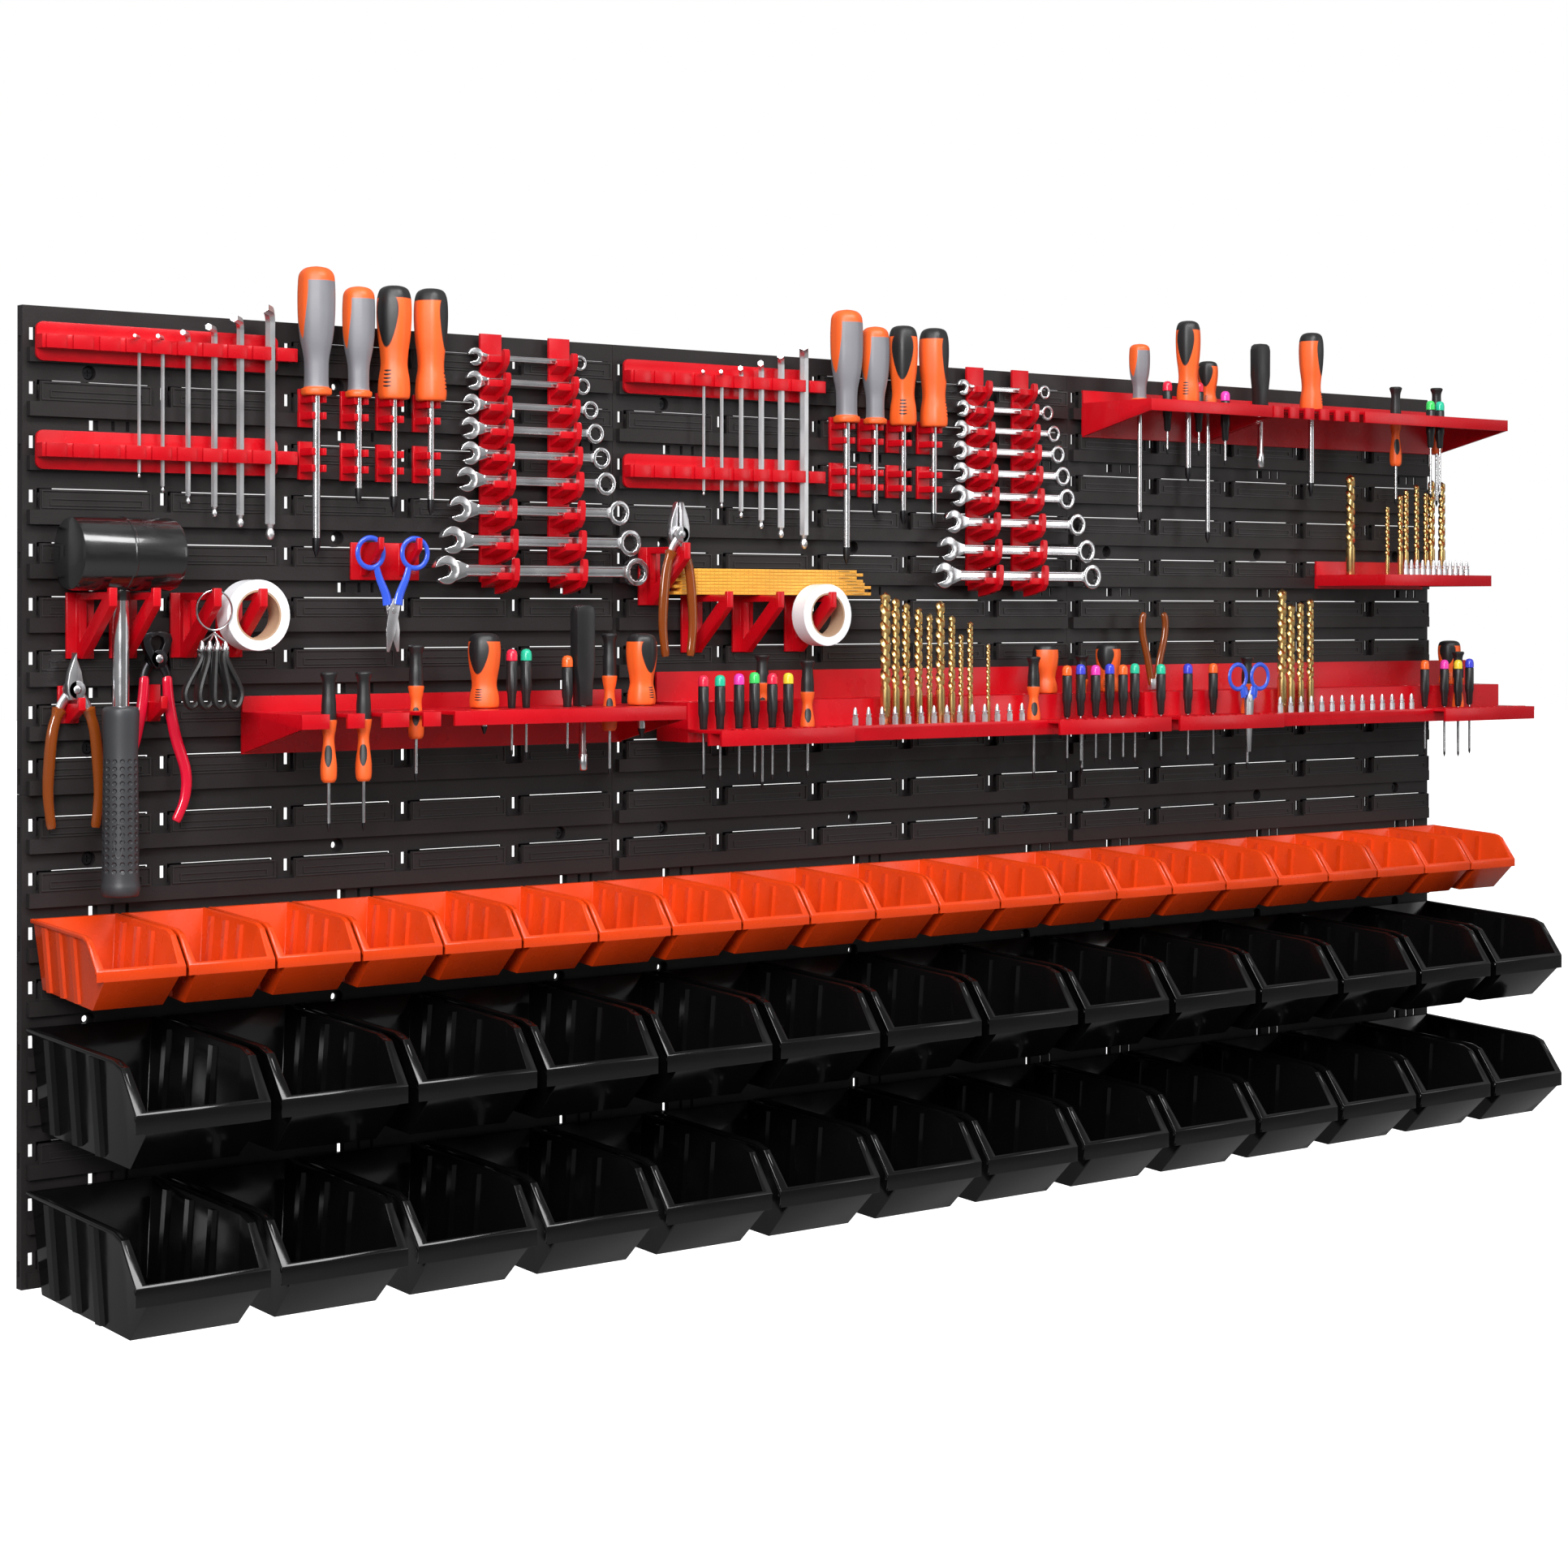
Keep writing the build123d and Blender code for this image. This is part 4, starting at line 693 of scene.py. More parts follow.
# Tab rims and inner lines use the lighter bead plastic, which is a painted highlight on the raised lines.
for name, drop, sizes in (
        ("tab_rims", 2.4, {"Length": 0.0945, "Height": 0.0135, "Line": 0.0013, "Rise": 0.0016}),
        ("tab_inner_lines", 4.6, {"Length": 0.080, "Height": 0.0048, "Line": 0.0011, "Rise": 0.0013})):
    repeated(name, bead_tree, [(x, BEAD_D, z - drop) for x, z in tabs], {**sizes, "Finish": bead_charcoal_painted_highlight},
             "wall", ())
# Dark strips behind the skin narrow the windows, squares, slots and slits: painted shade, put where the open panel
# only shows shade.
for name, places, width, height in (
        ("window_strips", [(x - 48.8, z) for x, z in tabs], 0.0034, 0.012),
        ("square_strips", [(x + 3.4, z) for x, z in squares], 0.0044, 0.010),
        ("slot_end_strips", [(x - 42, z - 1.2) for x, z in tabs], 0.015, 0.0162),
        ("slot_top_strips", [(x, z + 4.4) for x, z in tabs], 0.097, 0.0026),
        ("slit_strips", [(x + step, z) for x, z in squares for step in (17, 30)], 0.005, 0.010)):
    repeated(name, shade_sheet_tree, [(x, STRIP_D, z) for x, z in places],
             {"Width": width, "Thick": STRIP_T, "Height": height, "Finish": charcoal},
             "wall", ())

# ---- red holders ----
for node in ("key_rails_left", "key_rails_right", "driver_clips_left", "driver_clips_right",
             "spanner_racks_left", "spanner_racks_right", "mallet_bracket", "ring_bracket", "rule_brackets",
             "cutter_hook", "pliers_hooks", "scissors_hook", "tool_shelf_low", "tool_shelf_high_left",
             "tool_shelf_high_right", "bit_shelf_left", "bit_shelf_right", "drill_shelf"):
    softened(node, "wall", red)

# ---- bins ----
SMALL_BIN = {"rim": 294.18, "body": 35.5, "base": 30.0, "deep": 64.0, "ribs": (22, 46, 70), "rib": 9.0,
             "in": 4.2, "out": 2.0, "first": 42.0, "half": 36.4, "bead": 1.5, "soft": 0.0004,
             "edge": ((2, -1.2), (60, -4.6), (90, -6.6), (97.5, -10), (103, -16), (113.0, -31)),
             "lip": (113.8, -34.5)}
LARGE_BIN = {"rim": 208.26, "body": 53.0, "base": 46.0, "deep": 91.0, "ribs": (34, 72, 110), "rib": 13.0,
             "in": 5.4, "out": 3.2, "first": 57.5, "half": 53.9, "bead": 2.0, "soft": 0.0005,
             "edge": ((2, -1.6), (90, -6.6), (146, -9.8), (160, -14), (168, -23), (182.4, -45)),
             "lip": (183.8, -49.5)}


def bin_ribs(shapes, kind, finish):
    """Pilasters on both faces of the side walls and a label rail on the sloping front."""
    rim = kind["rim"]
    for side in (-1, 1):
        for d in kind["ribs"]:
            top = -4.0 - d * 0.06
            foot = -kind["deep"] * 0.86 - d * 0.08
            for inside in (0, 1):
                out = -kind["in"] if inside else kind["out"]
                wide = kind["rib"] * (0.8 if inside else 1.0)
                points = []
                for z in (top, foot):
                    wall = kind["body"] + (kind["base"] - kind["body"]) * (-z / kind["deep"])
                    for step, deep in ((-wide / 2, 0), (-wide / 3, 1), (wide / 3, 1), (wide / 2, 0)):
                        face = wall + (out if deep else (-1.5 if inside else -0.2))
                        points.append((kind["first"] + side * face, d + step, rim + z))
                shapes.add((points, belts(2, 4) + [[0, 3, 2, 1], [4, 5, 6, 7]]), finish)
    # the rolled bead of the rim, down both sides and across the front
    x, half = kind["first"], kind["half"]
    down = [(x - half, d, rim + z) for d, z in kind["edge"]]
    lip = (kind["lip"][0], rim + kind["lip"][1])
    across = [(x - half + 2.5, *lip), (x, *lip), (x + half - 2.5, *lip)]
    up = [(2 * x - a, d, z) for a, d, z in reversed(down)]
    shapes.add(tube(flowing(down + across + up, 3), kind["bead"], 8), finish)


def bin_pattern(name, node, kind, finish):
    """One detailed bin, made from its CAD solid."""
    shapes = Shapes(finish)
    bin_ribs(shapes, kind, finish)
    mesh = bpy.data.meshes.new(name)
    bm = bmesh.new()
    bm.from_mesh(nodes[node].data)
    bmesh.ops.remove_doubles(bm, verts=bm.verts, dist=2e-6)
    bmesh.ops.bevel(bm, geom=[e for e in bm.edges if e.calc_face_angle(0) > math.radians(30)],
                    offset=kind["soft"], segments=2, profile=0.5, affect="EDGES")
    first = [bm.verts.new(at(*p)) for p in shapes.points]
    for face in shapes.faces:
        bm.faces.new([first[i] for i in face])
    bmesh.ops.recalc_face_normals(bm, faces=bm.faces)
    bm.to_mesh(mesh)
    bm.free()
    mesh.materials.append(finish)
    return mesh


def bin_group(name, kind, finish):
    """The lift-off bin as a piece of its own and the rest of its kind in rows."""
    first, rows = name + "_first", name + "s"
    pattern = bin_pattern(name + "_pattern", first, kind, finish)
    plain(linked(first + "_detailed", pattern.copy()), name, (first,))
    mould = linked(name + "_mould", pattern)
    start = solids_of(first)[0]
    places = [(b[0] - start[0] + WALL_W / 2, -PANEL_T, b[4] - start[4] + WALL_H / 2) for b in solids_of(rows)]
    repeated(rows + "_detailed", row_tree, places, {"Pattern": mould, "Finish": finish}, "wall", (rows,))
    bpy.data.objects.remove(mould)


bin_group("orange_bin", SMALL_BIN, bin_orange)
bin_group("black_bin", LARGE_BIN, bin_black)

# ---- hex keys ----
KEY_D = 9.5
KEY_TURN = math.radians(40)
KEYS = ((94, 2.5, 759.6, 645, 16), (115, 3, 760.5, 634, 18), (138, 4, 765, 625, 21), (162, 5, 771, 615, 24),
        (186, 6, 780, 607, 28), (214, 8, 791, 597, 32))
for side, shift in (("left", 0), ("right", 575)):
    keys = Shapes(key_steel)
    for x, size, top, tip, arm in KEYS:
        r = size / math.sqrt(3)
        ax, ad = -math.sin(KEY_TURN), math.cos(KEY_TURN)
        bend = max(size * 1.3, 3.5)
        path = [(x + shift, KEY_D, tip + size * 1.6), (x + shift, KEY_D, top - size / 2 - bend)]
        for k in range(1, 6):
            a = math.pi / 2 * k / 5
            run = bend * (1 - math.cos(a))
            path.append((x + shift + ax * run, KEY_D + ad * run, top - size / 2 - bend + bend * math.sin(a)))
        path.append((x + shift + ax * arm, KEY_D + ad * arm, top - size / 2))
        keys.add(tube(path, r, 6), key_steel)
        ball = [(0.25 * size, tip), (0.42 * size, tip + 0.25 * size), (0.48 * size, tip + 0.55 * size),
                (0.4 * size, tip + 0.9 * size), (0.3 * size, tip + 1.1 * size), (0.36 * size, tip + 1.4 * size),
                (0.5 * size, tip + 1.7 * size)]
        keys.add(lathe(x + shift, KEY_D, ball, 12), key_steel)
    keys.piece("hex_keys_" + side + "_bent", "wall", ("hex_keys_" + side,), "chrome", 25)

# ---- screwdrivers ----
FACING = math.radians(-56)
BIG_GRIP = ((0.74, 0), (0.88, 0.015), (0.92, 0.08), (0.88, 0.18), (0.77, 0.29), (0.80, 0.40), (0.92, 0.54),
            (0.99, 0.68), (1.0, 0.80), (0.95, 0.90), (0.80, 0.965), (0.5, 0.993), (0.1, 1.0))
SLIM_GRIP = ((0.72, 0), (0.80, 0.012), (0.80, 0.05), (0.66, 0.07), (0.64, 0.20), (0.68, 0.30), (0.86, 0.44),
             (0.96, 0.58), (0.99, 0.74), (0.97, 0.86), (0.90, 0.94), (0.6, 0.985), (0.1, 1.0))
SMALL_GRIP = ((0.66, 0), (0.92, 0.04), (0.95, 0.16), (0.74, 0.30), (0.66, 0.40), (0.84, 0.48), (0.97, 0.555),
              (0.88, 0.575), (0.86, 0.70), (0.76, 0.80), (0.74, 0.90), (0.96, 0.965), (0.99, 0.985), (0.8, 1.0))


def rings_of(outline, r, low, high, per=5):
    return [(max(a, 0.05) * r, low + b * (high - low)) for a, b in flowing(outline, per)]


GREY_GRIPS = (0, 1, 6, 7, 12)
TURNED = {3: 0.30, 8: 0.05, 9: 0.28, 5: 0.2, 15: 0.25, 10: -0.2}
grips = Shapes(grip_grey, grip_orange)
for k, (x, d, r, z0, z1) in enumerate(axes_of("driver_handles")):
    slim = k in GREY_GRIPS
    turn = FACING - TURNED.get(k, 0.0) * 2 * math.pi
    rings = rings_of(SLIM_GRIP if slim else BIG_GRIP, r, z0, z1)
    grips.add(lathe(x, d, rings, 36, turn, 6, 0.06), grip_grey if slim else grip_orange)
grips.piece("driver_grips", "wall", ("driver_handles",), "orange_grip")

grips = Shapes(small_grip)
for x, d, r, z0, z1 in axes_of("small_driver_handles"):
    grips.add(lathe(x, d, rings_of(SMALL_GRIP, r, z0, z1), 28, FACING, 6, 0.05), small_grip)
grips.piece("small_driver_grips", "wall", ("small_driver_handles",), "orange_grip")

for node, name in (("driver_blades", "ground_blades"), ("small_driver_blades", "small_ground_blades"),
                   ("precision_blades", "fine_blades")):
    blades = Shapes(chrome, dark_steel)
    for x, d, r, z0, z1 in axes_of(node):
        dark = min(4.5 * r, (z1 - z0) * 0.3)
        blades.add(lathe(x, d, [(0.25 * r, z0), (0.5 * r, z0 + 0.8 * r), (0.96 * r, z0 + 2.2 * r),
                                 (0.96 * r, z0 + dark)], 12), dark_steel)
        blades.add(lathe(x, d, [(r, z0 + dark), (r, z1)], 14), chrome)
    blades.piece(name, "wall", (node,), "satin_steel")

CAP_ORDER = ("red teal orange red teal pink green red yellow orange blue pink blue orange teal teal red blue "
             "red orange pink green teal orange pink yellow blue").split()
fine = Shapes(black, *CAPS.values())
for k, (x, d, _, z0, z1) in enumerate(axes_of("precision_handles")):
    body = [(2.3, z0), (3.4, z0 + 2), (3.9, z0 + 13), (4.7, z0 + 16), (4.9, z0 + 18), (4.9, z1 - 11),
            (4.4, z1 - 10.4)]
    fine.add(lathe(x, d, body, 24, 0, 12, 0.07), black)
    cap = [(3.9, z1 - 10.4), (4.9, z1 - 10), (4.9, z1 - 5), (4.3, z1 - 2.2), (2.8, z1 - 0.6), (0.2, z1)]
    fine.add(lathe(x, d, cap, 20), CAPS[CAP_ORDER[k % len(CAP_ORDER)]])
fine.piece("precision_driver_handles", "wall", ("precision_handles",), "black_plastic")

flat = Shapes(black, chrome)
for x0, x1, d0, d1, z0, z1 in solids_of("flat_drivers"):
    base = 454.5 if z1 < 600 else 752.5
    x, d = (x0 + x1) / 2, (d0 + d1) / 2
    loop = [(x - 7, base), (x + 7, base), (x + 7.5, base + 18), (x + 9.8, base + 34), (x + 10, z1 - 7),
            (x + 8.4, z1 - 2), (x + 5, z1), (x - 5, z1), (x - 8.4, z1 - 2), (x - 10, z1 - 7),
            (x - 9.8, base + 34), (x - 7.5, base + 18)]
    flat.add(plate([loop], d0, d1, 1.8), black)
    flat.add(lathe(x, d, [(3.2, z0), (4.0, z0 + 1), (4.0, z0 + 14), (3.2, z0 + 15), (3.2, base)], 18), chrome)
flat.piece("flat_handle_drivers", "wall", ("flat_drivers",), "black_plastic")

# ---- spanners ----


def spanner(shapes, k, box):
    x0, x1, d0, d1, z0, z1 = box
    jaw = 8 + 4.6 * k / 8
    ring = 7 + 5.6 * k / 8
    z = (z0 + z1) / 2
    jaw_x = x0 + jaw * 0.93
    ring_x = x1 - ring
    tilt = math.radians(195)
    ux, uz = math.cos(tilt), math.sin(tilt)
    half = jaw * 0.42
    loop = []
    gape = math.asin(half / jaw)
    for n in range(25):
        a = tilt + gape + (2 * math.pi - 2 * gape) * n / 24
        loop.append((jaw_x + jaw * math.cos(a), z + jaw * math.sin(a)))
    for out, side in ((0.0, -0.92), (-0.28, -0.45), (-0.28, 0.45), (0.0, 0.92)):
        loop.append((jaw_x + ux * jaw * out - uz * half * side, z + uz * jaw * out + ux * half * side))
    shapes.add(plate([loop], d0, d1, 0.7), chrome)
    hole = [(ring_x + ring * (0.66 if n % 2 else 0.6) * math.cos(math.pi * n / 12),
             z + ring * (0.66 if n % 2 else 0.6) * math.sin(math.pi * n / 12)) for n in range(24)]
    shapes.add(plate([circle(ring_x, z, ring, 36), hole], d0, d1, 0.8), chrome)
    bar = 2.6 + 2.6 * k / 8
    neck = jaw_x + jaw * 0.75
    shank = [(neck, z - bar * 1.7), (neck + jaw * 0.9, z - bar), (ring_x - ring * 1.3, z - bar * 0.85),
             (ring_x - ring * 0.85, z - bar * 1.15), (ring_x - ring * 0.85, z + bar * 1.15),
             (ring_x - ring * 1.3, z + bar * 0.85), (neck + jaw * 0.9, z + bar), (neck, z + bar * 1.7)]
    shapes.add(plate([shank], d0 + 0.8, d1 - 0.8, 0.5), chrome)
    for edge in (-1, 1):
        rail = z + edge * bar * 0.72
        shapes.add(tube([(neck + jaw * 0.9, d1 - 0.7, rail), (ring_x - ring * 1.3, d1 - 0.7, rail)],
                         bar * 0.22, 8), chrome)


for side in ("left", "right"):
    spanners = Shapes(chrome)
    order = sorted(solids_of("spanners_" + side), key=lambda b: -b[4])
    for k, box in enumerate(order):
        spanner(spanners, k, box)
    spanners.piece("forged_spanners_" + side, "wall", ("spanners_" + side,), "chrome", 50)

# Each rack arm turns up into a rounded fin in front of the spanner it carries.
SPANNER_SEATS = (760, 739, 718, 697, 675, 652, 626, 599, 573)
for side, rails in (("left", (427, 500)), ("right", (1005, 1067))):
    fins = Shapes(red)
    for x in rails:
        for k, z in enumerate(SPANNER_SEATS):
            share = k / (len(SPANNER_SEATS) - 1)
            reach = 14 + 16 * share
            half = 3 + 3.5 * share
            outline = [(reach - 3.6, z - half - 2.5), (reach - 1.4, z - half), (reach - 0.8, z + half * 0.6),
                       (reach + 0.2, z + half + 3), (reach + 2.2, z + half + 4.4), (reach + 4.2, z + half + 3.4),
                       (reach + 5, z + half * 0.4), (reach + 3.8, z - half - 2), (reach - 1, z - half - 8),
                       (reach * 0.5, z - half - 12), (3, z - half - 14), (3, z - half - 6)]
            points = [(edge, d, h) for edge in (x + 15, x + 20.4) for d, h in outline]
            fins.add((points, belts(2, len(outline)) + caps(2, len(outline))), red)
    fins.piece("spanner_rack_fins_" + side, "wall", (), "red_plastic", 30)

# ---- mallet ----
x0, x1, d0, d1, z0, z1 = solids_of("mallet_head")[0]
middle = (d0 + d1) / 2
head = Shapes(black_rubber)
rings = [(0.5, 0), (25.5, 0), (28.2, 0.8), (29.2, 3.6), (29.4, 43.4), (30, 44.2), (30, 45.8), (29.4, 46.6),
         (29.2, 86.4), (28.2, 89.2), (25.5, 90), (0.5, 90)]
head.add(lifted(lathe(x0, middle, rings, 64, lie="x"), (z0 + z1) / 2), black_rubber)
head.piece("rubber_mallet_head", "mallet", ("mallet_head",), "black_rubber", 30)
x, _, _, low, _ = axes_of("mallet_shaft")[0]
shaft = Shapes(chrome, black_rubber)
shaft.add(lathe(x, middle, [(6.7, low), (6.7, z0 + 2)], 28), chrome)
shaft.add(lathe(x, middle, [(7.0, z0 - 7), (7.6, z0 - 6), (7.6, z0 + 1)], 28), black_rubber)
shaft.piece("plated_mallet_shaft", "mallet", ("mallet_shaft",), "chrome")
x, _, r, low, high = axes_of("mallet_grip")[0]
grip = Shapes(grip_rubber)
outline = ((0.1, 0), (0.80, 0.0), (0.96, 0.015), (1.0, 0.05), (0.94, 0.10), (0.93, 0.30), (0.90, 0.60),
           (0.88, 0.76), (0.93, 0.90), (0.94, 0.97), (0.82, 0.995), (0.5, 1.0))
grip.add(lathe(x, middle, rings_of(outline, r, low, high, 4), 40, FACING), grip_rubber)
face = math.radians(124)
oval = []
for n in range(24):
    t = 2 * math.pi * n / 24
    turn = face + 3.6 * math.cos(t) / 14
    oval.append((x + 14.2 * math.cos(turn), middle + 14.2 * math.sin(turn), low + 45 + 14 * math.sin(t)))
grip.add(tube(oval, 0.7, 6, ring=True), grip_rubber)
grip.piece("dimpled_mallet_grip", "mallet", ("mallet_grip",), "black_rubber", 50)


# ---- tape, keys and rule ----
HOOP_STEPS = 48


def hoop(x, z, profile):
    """A closed outline of (radius, d) points turned about a line that points at the viewer."""
    turns = [2 * math.pi * k / HOOP_STEPS for k in range(HOOP_STEPS)]
    points = [(x + r * math.cos(a), d, z + r * math.sin(a)) for a in turns for r, d in profile]
    return points, belts(HOOP_STEPS, len(profile), True)


for side in ("left", "right"):
    x0, x1, d0, d1, z0, z1 = solids_of("tape_roll_" + side)[0]
    x, z, r = (x0 + x1) / 2, (z0 + z1) / 2, (x1 - x0) / 2
    roll = Shapes(white_tape, cardboard)
    roll.add(hoop(x, z, [(r, d0 + 0.4), (r, d1 - 0.4), (r - 0.4, d1), (20.7, d1), (20.7, d0), (r - 0.4, d0)]),
             white_tape)
    roll.add(hoop(x, z, [(20.7, d1 - 0.2), (19.1, d1 - 0.2), (19.1, d0 + 0.2), (20.7, d0 + 0.2)]), cardboard)
    roll.piece("wound_tape_" + side, "tape_" + side, ("tape_roll_" + side,), "white_tape", 30)

x0, x1, d0, d1, z0, z1 = solids_of("key_ring")[0]
x, d, z = (x0 + x1) / 2, (d0 + d1) / 2, (z0 + z1) / 2
ring = Shapes(chrome)
for step in (-0.5, 0.5):
    ring.add(tube([(x + 16 * math.cos(t / 20 * math.pi), d + step, z + 16 * math.sin(t / 20 * math.pi))
                    for t in range(40)], 0.6, 8, ring=True), chrome)
ring.piece("split_ring", "keys", ("key_ring",), "chrome")
fobs = Shapes(leather, chrome)
top = z - 16 - 9
for k, step in enumerate((-14, -5, 4, 13)):
    fx, foot, depth = x + step * 0.35, x + step, d - 11.5 + 7 * k
    loop = flowing([(fx - 1.2, depth, top - 8), (fx - 1.6, depth, top - 16), (foot - 5.2, depth, top - 38),
                    (foot - 4.6, depth, top - 49), (foot, depth, top - 53.4), (foot + 4.6, depth, top - 49),
                    (foot + 5.2, depth, top - 38), (fx + 1.6, depth, top - 16), (fx + 1.2, depth, top - 8)], 4)
    fobs.add(tube(loop, 2.3, 8, 1.7), leather)
    fobs.add(lathe(fx, depth, [(2.9, top - 13), (3.2, top - 12.5), (3.2, top - 9), (2.9, top - 8.6),
                                (3.1, top - 8.2), (3.1, top - 4.6), (2.4, top - 3.6), (1.4, top)], 18), chrome)
    fobs.add(tube([(fx, depth, top), ((fx + x) / 2, (depth + d) / 2, top + 3), (x, d, top + 7)], 0.9, 8), chrome)
fobs.piece("strap_fobs", "keys", ("key_fobs",), "black_plastic")

x0, x1, d0, d1, z0, z1 = solids_of("folding_rule")[0]
leaf = (z1 - z0) / 8
rule = Shapes(rule_wood, brass)
for k in range(8):
    shift = 8 if k % 2 else 0
    right = x1 - shift - (0 if k < 4 else 10)
    low = z0 + k * leaf
    rule.add(plate([[(x0 + shift, low + 0.08), (right, low + 0.08), (right, low + leaf - 0.08),
                      (x0 + shift, low + leaf - 0.08)]], d0, d1, 0.35), rule_wood)
    for end in (x0 + 16, right - 16):
        rule.add(tube([(end - 7, d1 - 0.2, low + leaf / 2), (end + 7, d1 - 0.2, low + leaf / 2)], 0.55, 8), brass)
rule.piece("folding_rule_leaves", "rule", ("folding_rule",), "yellow_wood", 30)

# ---- pliers and scissors ----
CUTTER_HANDLE = ((3, -4), (10, -14), (16, -32), (19, -58), (20, -84), (17, -110))
END_HANDLE = ((3, -4), (8, -14), (10, -36), (16, -64), (25, -92), (24, -114), (16, -132))
CUTTER_HEAD = ((0.3, 29.5), (1.6, 28), (3.9, 22), (6.9, 14), (8.4, 5), (8.2, -2), (5.5, -8), (0.3, -8))
PINCER_HEAD = ((3, -8), (8, -1), (13, 8), (15, 15), (13.5, 20), (8, 21.8), (0.8, 21.8), (0.8, 19), (6.5, 17.2),
               (8, 13), (5.5, 7), (0.6, 4), (0.6, -8))


def pliers_half(name, body, node, slot, x, z, d0, side, front, head, handle, head_finish, grip_finish, guard):
    """Half of a pair of pliers: side is where its jaw is; its handle crosses to the other side."""
    half = Shapes(head_finish, grip_finish, steel)
    loop = [(x + side * a, z + b) for a, b in head]
    half.add(plate([loop], d0, d0 + 6, 0.6), head_finish)
    half.add(plate([circle(x, z, 7.4, 32)], d0, d0 + 6, 0.5), head_finish)
    level = d0 + (3.1 if front else 1.6)
    run = [(x - side * a, level, z + b) for a, b in handle]
    tang = flowing(run[:3], 5)
    half.add(tube(tang, [4.4 - 0.12 * k for k in range(len(tang))], 10, 0.55), head_finish)
    cover = flowing(run[1:], 6)
    count = len(cover)
    thick = []
    for k in range(count):
        share = k / (count - 1)
        r = 4.2 + 0.8 * math.sin(math.pi * min(share * 1.15, 1.0))
        if guard and k in (1, 2):
            r = 6.3 if k == 1 else 5.6
        thick.append(r)
    thick[0] = 3.2
    thick[-1] = 3.4
    half.add(tube(cover, thick, 16, 0.66), grip_finish)
    if front:
        half.add(lifted(lathe(x, d0 + 5.4, [(3.4, 0), (3.4, 0.9), (2.6, 1.5), (0.3, 1.6)], 20, lie="d"), z),
                 steel)
    half.piece(name, body, (node,), slot, 45)


for name, x, z, d0, front_side, head, handle, head_finish, grip_finish, slot, guard in (
        ("cutter_left", 36, 475, 6, -1, CUTTER_HEAD, CUTTER_HANDLE, steel, amber, "amber_plastic", True),
        ("end_cutter", 108, 499, 6, -1, PINCER_HEAD, END_HANDLE, dark_steel, red_dip, "red_dip", False),
        ("cutter_right", 612, 607, 40, 1, CUTTER_HEAD, CUTTER_HANDLE, steel, amber, "amber_plastic", True)):
    pliers_half(name + "_rear_half", name, name + "_back", slot, x, z, d0, -front_side, False, head, handle,
                head_finish, grip_finish, guard)
    pliers_half(name + "_front_half", name + "_leg", name + "_front", slot, x, z, d0 + 6.4, front_side, True,
                head, handle, head_finish, grip_finish, guard)

pliers = Shapes(amber, steel)
for turn in (-1, 1):
    run = flowing([(1250 + turn * a, 23, 470 + b) for a, b in ((3, -8), (9, 18), (16, 42), (17, 58), (14, 66))], 5)
    pliers.add(tube(run, [4.2] * 18 + [3.8, 3.4, 2.6], 14, 0.72), amber)
pliers.add(plate([[(1243.5, 456.4), (1256.5, 456.4), (1256.5, 468), (1243.5, 468)]], 20, 26, 0.6), steel)
pliers.piece("stored_amber_pliers", "wall", ("shelf_pliers",), "amber_plastic", 45)


def scissors_half(name, body, replaced, ring_x, ring_z, pivot, tip, d0, thick, shapes=None):
    """A blue ring and bow above the pivot and a ground steel blade below it."""
    half = shapes or Shapes(blue, steel)
    middle = d0 + thick / 2
    ring = [(ring_x + 12.7 * math.cos(t / 18 * math.pi), middle, ring_z + 12.7 * math.sin(t / 18 * math.pi))
            for t in range(36)]
    half.add(tube(ring, 2.3, 10, 0.62, ring=True), blue)
    side = 1 if ring_x > pivot[0] else -1
    bow = [(ring_x - side * 6, middle, ring_z - 12), (ring_x - side * 9, middle, ring_z - 22),
           (pivot[0] + side * 6, middle, pivot[1] + 14), (pivot[0] + side * 4, middle, pivot[1] + 5)]
    half.add(tube(flowing(bow, 4), [2.9 + 0.16 * k for k in range(13)], 10, 0.5), blue)
    blade = limb([(pivot[0] + side * 3, pivot[1] + 9), pivot, ((pivot[0] + tip[0]) / 2, (pivot[1] + tip[1]) / 2),
                  tip], (8, 10.5, 9.5, 2.2))
    half.add(plate([blade], middle - 0.8, middle + 0.8, 0.25), steel)
    if side > 0:
        half.add(lifted(lathe(pivot[0], middle + 0.5, [(2.4, 0), (2.2, 0.8), (0.3, 0.9)], 16, lie="d"),
                         pivot[1]), steel)
    if shapes is None:
        half.piece(name, body, replaced, "blue_plastic", 45)


scissors_half("hung_scissors_rear", "wall", ("scissors_back",), 305, 586.9, (326, 538), (332, 503), 18, 3)
scissors_half("hung_scissors_front", "scissors_leg", ("scissors_front",), 347, 586.9, (326, 538), (320, 503),
              21.4, 3)
pair = Shapes(blue, steel)
for turn, d0 in ((-1, 84), (1, 87.2)):
    scissors_half("", "", (), 1325 + turn * 15, 470, (1325, 446), (1325 - turn * 3, 392), d0, 2.8, pair)
pair.piece("stored_scissors", "wall", ("shelf_scissors",), "blue_plastic", 45)

# ---- drills and bits ----


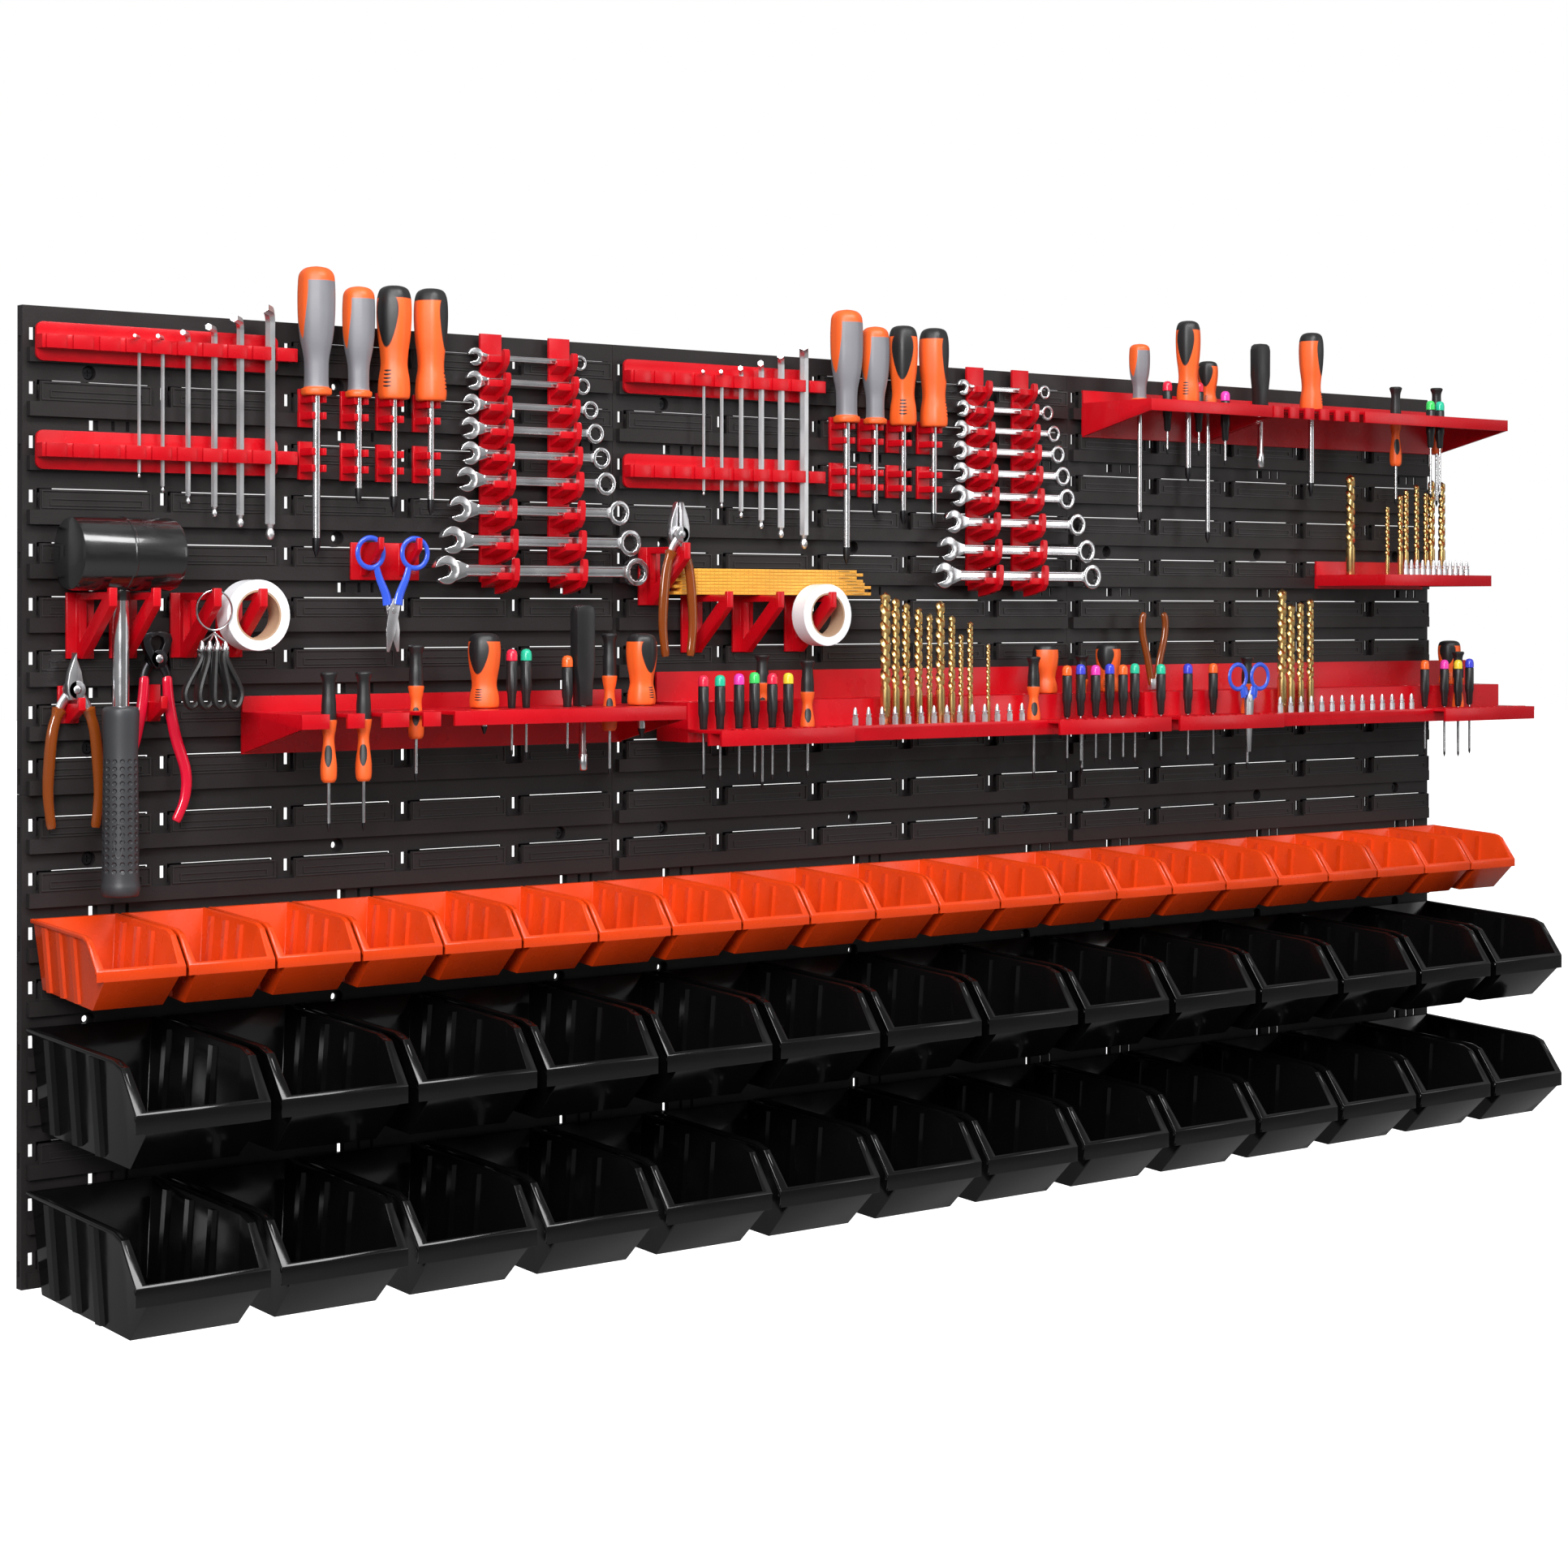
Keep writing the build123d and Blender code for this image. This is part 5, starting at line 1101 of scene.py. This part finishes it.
def twist_drill(shapes, x, d, r, low, high):
    """A plain shank and two flutes that wind up to the ground point."""
    shank = low + (high - low) * 0.3
    shapes.add(lathe(x, d, [(r * 0.9, low), (r, low + 1), (r, shank)], 16), gold)
    steps = max(16, int((high - shank) / (r * 0.42)))
    sides = 14
    points = []
    for j in range(steps + 1):
        z = shank + (high - shank - r * 0.7) * j / steps
        wind = (z - shank) / (r * 6.2) * 2 * math.pi
        for s in range(sides):
            a = 2 * math.pi * s / sides
            groove = max(0.0, math.cos(2 * a)) ** 0.8
            rr = r * (0.99 - 0.52 * groove * min(1.0, j / 3))
            points.append((x + rr * math.cos(a + wind), d + rr * math.sin(a + wind), z))
    foot, last = caps(steps + 1, sides)
    points.append((x, d, high))
    faces = belts(steps + 1, sides) + [[last[s], last[(s + 1) % sides], len(points) - 1] for s in range(sides)]
    faces.append(foot)
    shapes.add((points, faces), gold)


drills = Shapes(gold)
for drill in axes_of("twist_drills"):
    twist_drill(drills, *drill)
drills.piece("fluted_drills", "wall", ("twist_drills",), "gold_steel", 50)

bit = Shapes(steel)
hexagon = [(3.1, 0), (3.1, 15), (2.4, 15.6), (2.4, 17), (3.1, 17.6), (3.1, 18.4)]
bit.add(lathe(WALL_W / 2, -PANEL_T, [(r, z + WALL_H / 2) for r, z in hexagon], 6), steel)
tip = [(2.2, 18.4), (2.0, 21.5), (1.4, 23.6), (0.4, 25)]
bit.add(lathe(WALL_W / 2, -PANEL_T, [(r, z + WALL_H / 2) for r, z in tip], 12, 0, 4, 0.45), steel)
bit_mould = bit.piece("bit_mould", "wall", (), "satin_steel", 30)
places = [(x, d, foot) for x, d, _, foot, _ in axes_of("screw_bits")]
repeated("driver_bits", row_tree, places, {"Pattern": bit_mould, "Finish": steel}, "wall", ("screw_bits",))
bpy.data.objects.remove(bit_mould)

collars = [(left + 12 + 12 * i, 91, 431.2) for x in (620, 1209) for left in (x, x + 420) for i in range(12)
           if abs(left + 12 + 12 * i - 1325) > 13]
repeated("shelf_hole_collars", collar_tree, collars,
         {"Radius": 0.0041, "Line": 0.0009, "Rise": 0.0008, "Finish": red}, "wall", ())

# ---- camera, light and floor ----
lens = bpy.data.cameras.new("camera")
lens.sensor_width = 36
lens.lens = 70.72
lens.shift_y = -0.1134
lens.clip_end = 50
camera = linked("camera", lens)
camera.location = CAMERA_AT
camera.rotation_euler = (math.radians(90.08), math.radians(-0.05), math.radians(-CAMERA_YAW))
bpy.context.scene.camera = camera


def soft_light(name, place, target, size, power):
    data = bpy.data.lights.new(name, "AREA")
    data.shape = "RECTANGLE"
    data.size, data.size_y = size
    data.energy = power
    light = linked(name, data)
    light.location = place
    light.rotation_euler = (Vector(target) - Vector(place)).to_track_quat("-Z", "Y").to_euler()


soft_light("overhead softbox", (-0.5, -1.7, 1.9), (0, 0, 0), (2.4, 0.7), 62)
soft_light("left softbox", (-2.5, -2.3, 1.1), (0, 0, 0), (0.8, 1.2), 78)
soft_light("right softbox", (2.3, -2.2, 0.6), (0.3, 0, -0.1), (0.8, 1.4), 7)

world = bpy.data.worlds.new("studio")
world.use_nodes = True
sky = Bench(world.node_tree)
glow = world.node_tree.nodes["Background"]
seen = sky.put("ShaderNodeLightPath").outputs["Is Camera Ray"]
direction = sky.put("ShaderNodeTexCoord").outputs["Generated"]
rising = sky.spread(sky.split(direction)["Z"], -0.3, 0.6, 0.14, 0.46)
panels = sky.spread(sky.noise(direction, 2.3, 1.0), 0.46, 0.54, 0.45, 1.2)
studio = sky.maths("MULTIPLY", rising, panels)
strength = sky.maths("MAXIMUM", studio, seen)
sky.feed(glow.inputs["Strength"], strength)
glow.inputs["Color"].default_value = (1, 1, 1, 1)
bpy.context.scene.world = world
bpy.context.scene.view_settings.view_transform = "Standard"

mesh = bpy.data.meshes.new("floor")
mesh.from_pydata([(-30, -30, -1.1), (30, -30, -1.1), (30, 30, -1.1), (-30, 30, -1.1)], [], [(0, 1, 2, 3)])
floor = linked("floor", mesh)
paper, bench, shader = blank("pale studio floor")
shade = bench.spread(bench.noise(bench.place(), 0.5), 0.3, 0.7, 0.90, 0.93)
straight = bench.put("ShaderNodeLightPath").outputs["Is Camera Ray"]
bench.feed(shader.inputs["Base Color"], bench.maths("MULTIPLY", shade, bench.spread(straight, 0, 1, 0.3, 1.0)))
shader.inputs["Roughness"].default_value = 0.9
shader.inputs["Emission Color"].default_value = (1, 1, 1, 1)
bench.feed(shader.inputs["Emission Strength"], bench.spread(straight, 0, 1, 0.03, 1.0))
mesh.materials.append(paper)
